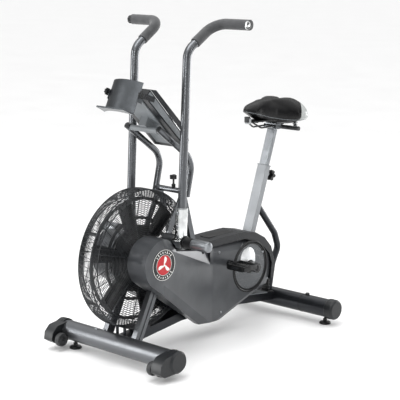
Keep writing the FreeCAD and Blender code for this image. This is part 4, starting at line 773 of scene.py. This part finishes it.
def build_pedals():
    """Broad platform pedals with toothed edges, ribs and end plates."""
    for side, sign in SIDES:
        node = f"pedal_{side}"
        low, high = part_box(node)
        centre = (low + high) / 2
        spindle = Vector(JOINTS[f"{node}_spin"]["pos_m"])
        half_x, half_y = (high.x - low.x) / 2, (high.y - low.y) / 2 - 3 * MM
        body = bmesh.new()
        rod(body, 11 * MM, Vector((low.x, spindle.y, spindle.z)), Vector((high.x, spindle.y, spindle.z)),
            28, 1.5 * MM)
        for end in (-1, 1):
            block(body, (half_x * 2 - 14 * MM, 9 * MM, 22 * MM),
                  Vector((centre.x, centre.y + end * (half_y - 5 * MM), centre.z)), None, 2 * MM)
            block(body, (8 * MM, half_y * 2 - 6 * MM, 20 * MM),
                  Vector((centre.x + end * (half_x - 4.2 * MM), centre.y, centre.z)), None, 2.6 * MM)
            block(body, (half_x * 2 - 16 * MM, 3 * MM, 18 * MM),
                  Vector((centre.x, centre.y + end * half_y * 0.5, centre.z)), None, 0.8 * MM)
        for i in range(5):
            x = centre.x + (i - 2) * half_x * 0.34
            block(body, (3 * MM, half_y * 2 - 14 * MM, 14 * MM), Vector((x, centre.y, centre.z)), None, 0.6 * MM)
        teeth = 9
        for i in range(teeth):
            x = centre.x + (i - (teeth - 1) / 2) * (half_x * 2 - 16 * MM) / teeth
            for end in (-1, 1):
                for face in (-1, 1):
                    spot = Vector((x, centre.y + end * (half_y - 5 * MM), centre.z + face * 10 * MM))
                    rod(body, 3.4 * MM, spot, spot + Z_AXIS * face * 2 * MM, 4, 0, 1.2 * MM)
        piece(f"{node}_platform", body, "black", node, [node])
        lamps = bmesh.new()
        for end in (-1, 1):
            block(lamps, (34 * MM, 2.4 * MM, 9 * MM),
                  Vector((centre.x, centre.y + end * (half_y + 0.2 * MM), centre.z)), None, 0.8 * MM)
        piece(f"{node}_edge_plates", lamps, "cap", node)


# ---------------------------------------------------------------- handles

def build_handles():
    """Chrome sockets, satin pegs with a ribbed band, foam grips and their end plugs."""
    for side, sign in SIDES:
        body = f"lever_{side}"
        softened(f"lever_socket_{side}", "chrome", body, 1.8 * MM, 3, 50)
        softened(f"grip_{side}", "foam", body, 3.2 * MM, 3, 50)
        low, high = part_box(f"grip_{side}")
        end_x = high.x if sign > 0 else low.x
        tube = frame["nodes"][f"handle_tube_{side}"].data
        tip_x = max(sign * vert.co.x for vert in tube.vertices)
        tip = [vert.co for vert in tube.vertices if sign * vert.co.x > tip_x - 0.2 * MM]
        centre = sum(tip, Vector()) / len(tip)
        centre.x = end_x
        plug = bmesh.new()
        lathe(plug, in_mm((0, 1.0), (6, 1.0), (8, 0.2), (11, 0.2), (13, 0.9), (15, 0.9), (16.2, -1)),
              centre - X_AXIS * sign * 1.1 * MM, X_AXIS * sign, 40)
        piece(f"grip_plug_{side}", plug, "chrome", body)
        bolt = bmesh.new()
        base = LEVER + X_AXIS * sign * 137 * MM
        for height in (112, 60):
            spot = base + mm(0, 0, height)
            socket_screw(bolt, 7 * MM, spot + Y_AXIS * 27 * MM, Y_AXIS)
            socket_screw(bolt, 7 * MM, spot - Y_AXIS * 19 * MM, -Y_AXIS)
        hoop(bolt, 23.2 * MM, 3 * MM, base + mm(0, 3.6, 127.5), Vector((0, 0.03, 1)), 48, 8)
        piece(f"lever_bolts_{side}", bolt, "plate", body)
    pegs = bmesh.new()
    low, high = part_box("foot_pegs")
    start, end, radius = 161 * MM, high.x, (high.z - low.z) / 2
    length = end - start
    profile = [(11 * MM, 0.0), (radius * 0.8, 0.0), (radius * 0.86, 1 * MM), (radius * 0.86, 40 * MM),
            (radius * 0.98, 42 * MM), (radius, 44 * MM), (radius, length - 12 * MM),
            (radius * 0.96, length - 6 * MM), (radius * 0.84, length - 2 * MM), (radius * 0.6, length),
            (0.0, length)]
    lathe(pegs, profile, LEVER + X_AXIS * start, X_AXIS, 48)
    mirrored(pegs)
    piece("foot_pegs_turned", pegs, "peg", "root", ["foot_pegs"], 24)
    bands, along = bmesh.new(), 3 * MM
    ridges = [(radius * 0.84, 2 * MM)]
    while along < 38 * MM:
        ridges += [(radius * 0.9, along), (radius * 0.98, along + 1.2 * MM), (radius * 0.98, along + 2.2 * MM),
                   (radius * 0.9, along + 3.4 * MM)]
        along += 3.6 * MM
    lathe(bands, ridges + [(radius * 0.84, 39.6 * MM)], LEVER + X_AXIS * start, X_AXIS, 40)
    mirrored(bands)
    piece("foot_peg_bands", bands, "black", "root", (), 24)
    washers = bmesh.new()
    for along in (113.4, 159.4):
        lathe(washers, in_mm((14, 0), (25, 0), (26, 0.6), (25, 1.2), (14, 1.2)),
              LEVER + X_AXIS * along * MM, X_AXIS, 40)
    mirrored(washers)
    piece("lever_washers", washers, "black", "root")


# ---------------------------------------------------------------- seat

def swell(shown, pressure, cap, frames=20):
    """Inflates a closed mesh as cloth, with no point moving further than the cap."""
    start = [vert.co.copy() for vert in shown.data.vertices]
    cloth = shown.modifiers.new("fill", "CLOTH")
    cloth.settings.use_pressure = True
    cloth.settings.uniform_pressure_force = pressure
    cloth.settings.effector_weights.gravity = 0
    cloth.settings.tension_stiffness = 25
    cloth.settings.bending_stiffness = 2
    cloth.point_cache.frame_start, cloth.point_cache.frame_end = 1, frames
    for step in range(1, frames + 1):
        bpy.context.scene.frame_set(step)
    graph = bpy.context.evaluated_depsgraph_get()
    moved = [vert.co.copy() for vert in shown.evaluated_get(graph).data.vertices]
    shown.modifiers.remove(cloth)
    bpy.context.scene.frame_set(1)
    for vert, first, last in zip(shown.data.vertices, start, moved):
        step = last - first
        if step.length > cap:
            step *= cap / step.length
        vert.co = first + step


# saddle tables: (place from nose to tail, millimetres), for height of crest and skirt, depth of valley, half width
CREST = ((0.0, 902), (0.12, 911), (0.3, 919), (0.5, 922), (0.66, 923), (0.82, 918), (1.0, 900))
SKIRT = ((0.0, 880), (0.15, 866), (0.35, 845), (0.55, 831), (0.75, 824), (0.9, 824), (1.0, 828))
VALLEY = ((0.0, 0), (0.15, 3), (0.4, 9), (0.6, 15), (0.8, 18), (1.0, 15))
WIDTH = ((0.0, 24), (0.08, 38), (0.26, 46), (0.45, 66), (0.59, 100), (0.68, 122), (0.79, 128), (0.9, 120),
        (1.0, 100))
ROUNDED_SHARE = 0.14  # share of the length that each end takes to round off
VALLEY_REACH = 24  # how far the valley spreads to each side, in mm
NOTCH_DEPTH = 13  # how far the tail is drawn in between its lobes, in mm


def along_table(table, place):
    """Value of a table of (place, value) rows, in a straight line between its rows."""
    for (first, value), (last, after) in zip(table, table[1:]):
        if place <= last:
            share = min(1.0, max(0.0, (place - first) / (last - first)))
            return value + (after - value) * share
    return table[-1][1]


def saddle_point(spot, low, high):
    """Carries a point of the unit sphere to the saddle: crest, skirt, rear lobes and valley."""
    share = math.acos(max(-1.0, min(1.0, -spot.y))) / math.pi
    nose, tail = min(1.0, share / ROUNDED_SHARE), min(1.0, (1 - share) / ROUNDED_SHARE)
    back = share
    if nose < 1:
        back = ROUNDED_SHARE * (1 - math.cos(nose * math.pi / 2))
    if tail < 1:
        back = 1 - ROUNDED_SHARE * (1 - math.cos(tail * math.pi / 2))
    full = math.sin(nose * math.pi / 2) * math.sin(tail * math.pi / 2)
    angle = math.atan2(spot.z, spot.x)
    across, up = math.cos(angle), math.sin(angle)
    x = along_table(WIDTH, back) * full * math.copysign(abs(across) ** 0.8, across)
    valley = math.exp(-(x / VALLEY_REACH) ** 2)
    crest = along_table(CREST, back) - 12 * abs(across) ** 3 - along_table(VALLEY, back) * valley
    base = along_table(SKIRT, back)
    middle = base + 0.36 * (crest - base)
    reach = crest - middle if up > 0 else middle - base
    z = middle + reach * math.copysign(abs(up) ** 0.8, up) * full ** 0.7
    y = low.y / MM + back * (high.y - low.y) / MM - NOTCH_DEPTH * valley * max(0.0, (back - 0.8) / 0.2)
    return Vector((x, y, z)) * MM


def fitted(shown, low, high):
    """Stretches a mesh along X and Y to the box that its solid has."""
    points = [vert.co for vert in shown.data.vertices]
    for axis in (0, 1):
        least, most = min(p[axis] for p in points), max(p[axis] for p in points)
        scale = (high[axis] - low[axis]) / (most - least)
        for point in points:
            point[axis] = low[axis] + (point[axis] - least) * scale


def build_saddle(sizes):
    """The filled vinyl saddle, its piping, lower shell, bumpers and springs."""
    low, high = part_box("saddle")
    bm = bmesh.new()
    bmesh.ops.create_uvsphere(bm, u_segments=72, v_segments=60, radius=1,
                              matrix=Matrix.Rotation(math.pi / 2, 4, "X"))
    bm.verts.index_update()
    seam_angle, half_step = math.radians(-30), math.radians(2)
    seams = []
    for sign in (1, -1):
        line = [vert for vert in bm.verts if abs(vert.co.y) < 0.9999
                and abs(math.atan2(vert.co.z, vert.co.x * sign) - seam_angle) < half_step]
        seams.append([vert.index for vert in sorted(line, key=lambda vert: vert.co.y)])
    for vert in bm.verts:
        vert.co = saddle_point(vert.co, low, high)
    saddle = piece("saddle_cover", bm, "vinyl", "seat", ["saddle"], 180)
    swell(saddle, 4.0, sizes.swell_cap)
    relax(saddle, 3)
    inset = Vector((1, 1, 0)) * 2.4 * MM
    fitted(saddle, low + inset, high - inset)
    saddle.data.shade_smooth()
    piping = bmesh.new()
    for line in seams:
        points = [saddle.data.vertices[index].co.copy() for index in line]
        for start, end in zip(points, points[1:]):
            rod(piping, 1.4 * MM, start, end, 8)
    piece("saddle_piping", piping, "trim", "seat", (), 60)
    build_saddle_base(low, high)


def relax(shown, rounds):
    """Evens out a mesh by a number of rounds of smoothing."""
    smooth = shown.modifiers.new("relax", "SMOOTH")
    smooth.iterations, smooth.factor = rounds, 0.5
    bake(shown)


def bake(shown):
    """Makes a piece's modifiers part of its mesh."""
    graph = bpy.context.evaluated_depsgraph_get()
    mesh = bpy.data.meshes.new_from_object(shown.evaluated_get(graph))
    if not mesh.materials:
        for material in shown.data.materials:
            mesh.materials.append(material)
    shown.modifiers.clear()
    shown.data = mesh


def build_saddle_base(low, high):
    """What is below the vinyl: base pan, clamp, rear bar, coil springs and nose bumper."""
    softened("saddle_clamp", "post", "seat", 1.2 * MM, 2)
    softened("saddle_bumpers", "rubber", "seat", 1.4 * MM, 2)
    pan = bmesh.new()
    outline = [(12, 40), (24, 46), (30, 70), (36, 115), (56, 165), (82, 200), (90, 232), (82, 258),
               (60, 270), (26, 272), (0, 268)]
    points = [Vector((x * MM, low.y + y * MM, low.z - 1.5 * MM)) for x, y in outline]
    points += [Vector((-p.x, p.y, p.z)) for p in reversed(points[:-1])]
    slab(pan, points, mm(0, 0, 7), 2 * MM)
    for i in range(7):
        y = low.y + (60 + 32 * i) * MM
        block(pan, (44 * MM, 3 * MM, 5 * MM), Vector((0, y, low.z - 2.5 * MM)), None, 1 * MM)
    piece("saddle_base_pan", pan, "black", "seat")
    springs = bmesh.new()
    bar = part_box("saddle_bumpers")
    bar_y = high.y - 56 * MM
    for sign in (1, -1):
        foot = Vector((sign * 70 * MM, bar_y, bar[0].z + 15 * MM))
        coil(springs, 10 * MM, 3 * MM, foot, Vector((foot.x, foot.y, low.z - 1 * MM)), 3)
    piece("saddle_springs", springs, "plate", "seat")
    sleeve = bmesh.new()
    nose = Vector((0, low.y + 22 * MM, low.z - 6 * MM))
    lathe(sleeve, in_mm((11, 0), (13, 0.6), (13.6, 6), (13, 22), (11, 23)),
          nose, Z_AXIS, 32)
    piece("nose_bumper_sleeve", sleeve, "pale", "seat")


def build_seat_post():
    """Perforated post, the knob of its pin with a bright cap, and the collar of the tube."""
    softened("seat_post", "post", "seat", 0.8 * MM, 2, 50)
    softened("seat_pin", "black", "seat_pin", 2.0 * MM, 3, 40)
    low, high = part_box("seat_pin")
    collar = bmesh.new()
    far = max((vert.co for vert in frame["nodes"]["seat_pin"].data.vertices),
              key=lambda point: point.dot(SEAT_BACK))
    centre = Vector((0, (low.y + high.y) / 2, (low.z + high.z) / 2))
    axis_point = centre + SEAT_BACK * ((far - centre).dot(SEAT_BACK))
    lathe(collar, in_mm((0, 1.8), (5, 1.6), (8, 0.8), (9, -0.4)),
          axis_point, SEAT_BACK, 28)
    piece("seat_pin_cap", collar, "chrome", "seat_pin")
    marks = bmesh.new()
    top = mm(0, 425, 650)
    ring = [(-24, -15), (24, -15), (24, 15), (-24, 15)]
    outer = [top + X_AXIS * x * MM + SEAT_BACK * y * MM for x, y in ring]
    for start, end in zip(outer, outer[1:] + outer[:1]):
        rod(marks, 1.6 * MM, start - SEAT_UP * 2 * MM, end - SEAT_UP * 2 * MM, 8)
    piece("seat_tube_collar", marks, "silver", "root")


# ---------------------------------------------------------------- console

def console_point(uphill, over, x=0.0):
    """A point in the console's own frame: uphill from its low end, over its underside, in mm."""
    low = mm(0, -142, 792)
    up = Vector((0, PRESS.z, -PRESS.y)) * (1 if PRESS.z < 0 else -1)
    return low + up * uphill * MM - PRESS * over * MM + X_AXIS * x * MM


def build_console():
    """Housing with ribbed side rails, a display with generic digits, buttons and bezel."""
    softened("console_body", "cover", "root", 2.4 * MM, 3, 30)
    rails, line, bezel = bmesh.new(), bmesh.new(), bmesh.new()
    for sign in (1, -1):
        profile = [console_point(*spot, sign * 82) for spot in ((6, 4), (296, 4), (296, 30), (6, 22))]
        slab(rails, profile, X_AXIS * sign * 3.4 * MM, 1.4 * MM)
        for i in range(22):
            start = console_point(18 + 12.5 * i, 8, sign * 85.2)
            rod(rails, 1.5 * MM, start, console_point(18 + 12.5 * i, 24, sign * 85.2), 6)
        rod(line, 1.5 * MM, console_point(2, 27, sign * 84), console_point(298, 35, sign * 84), 8, 0.4 * MM)
    piece("console_side_rails", rails, "trim", "root")
    piece("console_trim_lines", line, "chrome", "root")
    frame_points = [(108, 64), (242, 64), (242, -64), (108, -64)]
    corners = [console_point(uphill, 57, x) for uphill, x in frame_points]
    for start, end in zip(corners, corners[1:] + corners[:1]):
        rod(bezel, 2.2 * MM, start, end, 10)
    piece("display_bezel", bezel, "trim", "root")
    frame["nodes"]["console_display"].data.materials[0] = MATERIALS["display"]
    digits = bmesh.new()
    rows = ((216, "12:30"), (180, "245"), (144, "18.5"))
    for uphill, text in rows:
        for place, character in enumerate(text):
            draw_digit(digits, character, uphill, (len(text) / 2 - place - 0.5) * 17)
    piece("display_digits", digits, "badge_black", "root")
    for side, _ in SIDES:
        node = f"console_button_{side}"
        low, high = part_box(node)
        centre = (low + high) / 2
        cap = bmesh.new()
        lathe(cap, in_mm((0, 1.4), (4, 1.2), (6.6, 1.9), (8.2, 1.4), (9, 0.2), (9, -2), (0, -2)), centre, -PRESS,
                32)
        piece(f"{node}_cap", cap, "trim", f"button_{side}", [node])


SEGMENTS = {"0": "abcdef", "1": "bc", "2": "abged", "3": "abgcd", "4": "fgbc", "5": "afgcd", "8": "abcdefg"}


def draw_digit(bm, character, uphill, x):
    """Seven bars of a display digit, or its dots, lying on the display."""
    ends = {"a": ((5, 8), (-5, 8)), "b": ((-5, 8), (-5, 0)), "c": ((-5, 0), (-5, -8)), "d": ((5, -8), (-5, -8)),
            "e": ((5, 0), (5, -8)), "f": ((5, 8), (5, 0)), "g": ((5, 0), (-5, 0))}
    if character in ":.":
        for lift in ((4, -4) if character == ":" else (-8,)):
            lathe(bm, in_mm((0, 0.3), (1.3, 0.3), (1.4, 0)),
                  console_point(uphill + lift, 56.1, x), -PRESS, 12)
        return
    for bar in SEGMENTS[character]:
        (x0, u0), (x1, u1) = ends[bar]
        rod(bm, 0.9 * MM, console_point(uphill + u0 * 0.92, 56, x + x0 * 0.86),
            console_point(uphill + u1 * 0.92, 56, x + x1 * 0.86), 6)


def build_holder():
    """The bowed plate in front of the console with its shelf and two side knobs."""
    softened("holder", "holder", "holder", 1.4 * MM, 2, 30)
    side_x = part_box("holder")[1].x
    knobs = bmesh.new()
    for sign in (1, -1):
        centre = HOLDER + X_AXIS * sign * (side_x - 8 * MM)
        lathe(knobs, in_mm((0, 9), (8, 8.6), (11.5, 6), (13, 1), (12.6, -2)),
              centre, X_AXIS * sign, 24)
        for i in range(8):
            angle = math.tau * i / 8
            out = Vector((0, math.cos(angle), math.sin(angle))) * 12.2 * MM
            rod(knobs, 2.2 * MM, centre + out - X_AXIS * sign * 2 * MM, centre + out + X_AXIS * sign * 6 * MM, 8)
    piece("holder_knobs", knobs, "black", "holder")


def build_mast_knob():
    """Wing knob on the lower crossbar."""
    softened("mast_knob", "black", "mast_knob", 1.6 * MM, 3, 40)


# ---------------------------------------------------------------- stage

CAMERA_PLACE, CAMERA_TILT, CAMERA_TURN = (3.288, -3.5346, 1.5251), 90 - 11.3, 42.7  # metres, degrees
FLOOR_HALF = 80  # metres, so that the floor reaches the horizon
GLOW_START, GLOW_END = 0.25, 0.9  # height of a ray's direction where the overhead glow begins and is full
# name, place, size and power of each lamp, in metres and watts
SOFT_BOXES = (("front_left_box", (-2.3, -2.9, 1.3), (0.5, 2.2), 60), ("front_box", (1.5, -3.9, 1.9), (0.3, 2.4),
        45), ("side_box", (3.6, 0.9, 1.6), (0.3, 2.4), 16), ("rear_box", (0.9, 4.2, 0.75), (3.0, 1.0), 60),
        ("top_box", (0.0, -1.0, 3.6), (1.2, 2.4), 45))


def build_stage(finishes, sizes):
    """Pale floor, an overhead glow that fades to the horizon, the soft boxes and the camera."""
    scene = bpy.context.scene
    scene.view_settings.view_transform = "Standard"
    ground = bmesh.new()
    bmesh.ops.create_grid(ground, x_segments=2, y_segments=2, size=FLOOR_HALF)
    mesh = bpy.data.meshes.new("floor")
    ground.to_mesh(mesh)
    ground.free()
    mesh.materials.append(studio_floor(finishes.floor_colour))
    floor = bpy.data.objects.new("floor", mesh)
    scene.collection.objects.link(floor)
    world = bpy.data.worlds.new("studio")
    world.use_nodes = True
    tree = world.node_tree
    direction = add_node(tree, "ShaderNodeTexCoord").outputs["Generated"]
    height = add_node(tree, "ShaderNodeSeparateXYZ", {"Vector": direction}).outputs["Z"]
    glow = add_node(tree, "ShaderNodeMapRange", {"Value": height, "From Min": GLOW_START, "From Max": GLOW_END,
                                                 "To Min": sizes.horizon_glow, "To Max": sizes.overhead_glow},
                    interpolation_type="SMOOTHSTEP")
    tree.links.new(glow.outputs["Result"], tree.nodes["Background"].inputs["Strength"])
    tree.nodes["Background"].inputs["Color"].default_value = (1, 1, 1, 1)
    scene.world = world
    middle = Vector((0, 0, 0.65))
    for name, place, size, power in SOFT_BOXES:
        lamp = bpy.data.lights.new(name, "AREA")
        lamp.shape = "RECTANGLE"
        lamp.size, lamp.size_y = size
        lamp.energy = power * sizes.lamp_power
        light = bpy.data.objects.new(name, lamp)
        light.location = place
        light.rotation_euler = (middle - Vector(place)).to_track_quat("-Z", "Y").to_euler()
        scene.collection.objects.link(light)
    lens = bpy.data.cameras.new("camera")
    lens.lens, lens.sensor_width, lens.clip_end = sizes.lens, 36, 200
    camera = bpy.data.objects.new("camera", lens)
    camera.location = CAMERA_PLACE
    camera.rotation_euler = (math.radians(CAMERA_TILT), 0, math.radians(CAMERA_TURN))
    scene.collection.objects.link(camera)
    scene.camera = camera


# ---------------------------------------------------------------- settings and operators

def colour_setting(name, description, code):
    return bpy.props.FloatVectorProperty(name=name, description=description, subtype="COLOR", size=4,
                                         min=0, max=1, default=linear(code))


class AIRBIKE_finishes(bpy.types.PropertyGroup):
    frame_colour: colour_setting("Frame", "Powder coat of the front frame", "5d5f62")
    dark_frame_colour: colour_setting("Rear frame", "Powder coat of the beam and rear frame", "292b2f")
    handle_colour: colour_setting("Handles", "Powder coat of the handles and mast", "5e6063")
    silver_colour: colour_setting("Silver", "Powder coat of the seat tube", "85888b")
    plate_colour: colour_setting("Plate", "Plating of the seat post", "7c7f82")
    shroud_colour: colour_setting("Shroud", "Moulded colour of the two shells", "484a4d")
    cover_colour: colour_setting("Lid", "Moulded colour of the long lid and console", "191b1e")
    floor_colour: colour_setting("Floor", "Paint of the studio floor", "f4f4f4")


class AIRBIKE_sizes(bpy.types.PropertyGroup):
    wire_pitch: bpy.props.FloatProperty(name="Wire pitch", description="Gap between cage rings", unit="LENGTH",
                                        default=7 * MM, min=3 * MM)
    wire_diameter: bpy.props.FloatProperty(name="Wire", description="Thickness of the cage wire", unit="LENGTH",
                                           default=2.4 * MM, min=1 * MM)
    swell_cap: bpy.props.FloatProperty(name="Saddle swell", description="Most that the saddle's skin may move",
                                       unit="LENGTH", default=9 * MM, min=0)
    lens: bpy.props.FloatProperty(name="Lens", description="Focal length of the camera", unit="CAMERA",
                                  default=112.0, min=20)
    horizon_glow: bpy.props.FloatProperty(name="Horizon", description="Strength of the surround at the sides",
                                          default=0.28, min=0)
    slope_width: bpy.props.FloatProperty(name="Cage slope", description="Breadth of the cage's sloping edge",
                                         unit="LENGTH", default=32 * MM, min=5 * MM)
    overhead_glow: bpy.props.FloatProperty(name="Overhead", description="Strength of the surround overhead",
                                           default=1.7, min=0)
    lamp_power: bpy.props.FloatProperty(name="Lamps", description="Share of the studio lamps' power",
                                        default=1.0, min=0)


def finishes():
    return bpy.context.scene.airbike_finishes


def sizes():
    return bpy.context.scene.airbike_sizes


def operator(word, label, text, *steps):
    """Makes the operator class that builds one group of pieces."""
    def execute(self, context):
        for step in steps:
            step()
        return {"FINISHED"}
    return type(f"AIRBIKE_OT_{word}", (bpy.types.Operator,),
                {"bl_idname": f"airbike.{word}", "bl_label": label, "__doc__": text, "execute": execute})


OPERATORS = [
    operator("materials", "Materials", "Makes the materials and paints the frame's nodes",
             lambda: make_materials(finishes()), paint_nodes),
    operator("stage", "Stage", "Adds the floor, lights and camera", lambda: build_stage(finishes(), sizes())),
    operator("frame", "Frame", "Finishes the welded frame", build_frame),
    operator("feet", "Feet", "Adds caps, wheels and levelling feet", build_feet),
    operator("cage", "Cage", "Weaves the wire cage", lambda: build_cage(sizes())),
    operator("fan", "Fan", "Finishes the fan wheel", build_fan),
    operator("shroud", "Shroud", "Finishes the shells and the lid", build_shroud),
    operator("badges", "Badges", "Adds the round badges", build_badges),
    operator("drive", "Drive", "Finishes cranks and discs", build_drive),
    operator("pedals", "Pedals", "Models the pedals", build_pedals),
    operator("handles", "Handles", "Finishes sockets, grips and pegs", build_handles),
    operator("saddle", "Saddle", "Fills the saddle and models what is below it",
             lambda: build_saddle(sizes())),
    operator("seat_post", "Seat post", "Finishes the post and its knob", build_seat_post),
    operator("console", "Console", "Finishes the console", build_console),
    operator("holder", "Holder", "Finishes the bowed holder", build_holder),
    operator("mast_knob", "Mast knob", "Finishes the wing knob", build_mast_knob),
]


class AIRBIKE_PT_panel(bpy.types.Panel):
    """Lists the builders in the sidebar"""
    bl_label = "Air bike"
    bl_idname = "AIRBIKE_PT_panel"
    bl_space_type = "VIEW_3D"
    bl_region_type = "UI"
    bl_category = "Air bike"

    def draw(self, context):
        for made in OPERATORS:
            self.layout.operator(made.bl_idname)


CLASSES = [AIRBIKE_finishes, AIRBIKE_sizes, *OPERATORS, AIRBIKE_PT_panel]


def register():
    for made in CLASSES:
        bpy.utils.register_class(made)
    bpy.types.Scene.airbike_finishes = bpy.props.PointerProperty(type=AIRBIKE_finishes)
    bpy.types.Scene.airbike_sizes = bpy.props.PointerProperty(type=AIRBIKE_sizes)


def unregister():
    del bpy.types.Scene.airbike_sizes
    del bpy.types.Scene.airbike_finishes
    for made in reversed(CLASSES):
        bpy.utils.unregister_class(made)


def main():
    register()
    for made in OPERATORS:
        group, word = made.bl_idname.split(".")
        getattr(getattr(bpy.ops, group), word)()


if __name__ == "__main__":
    main()
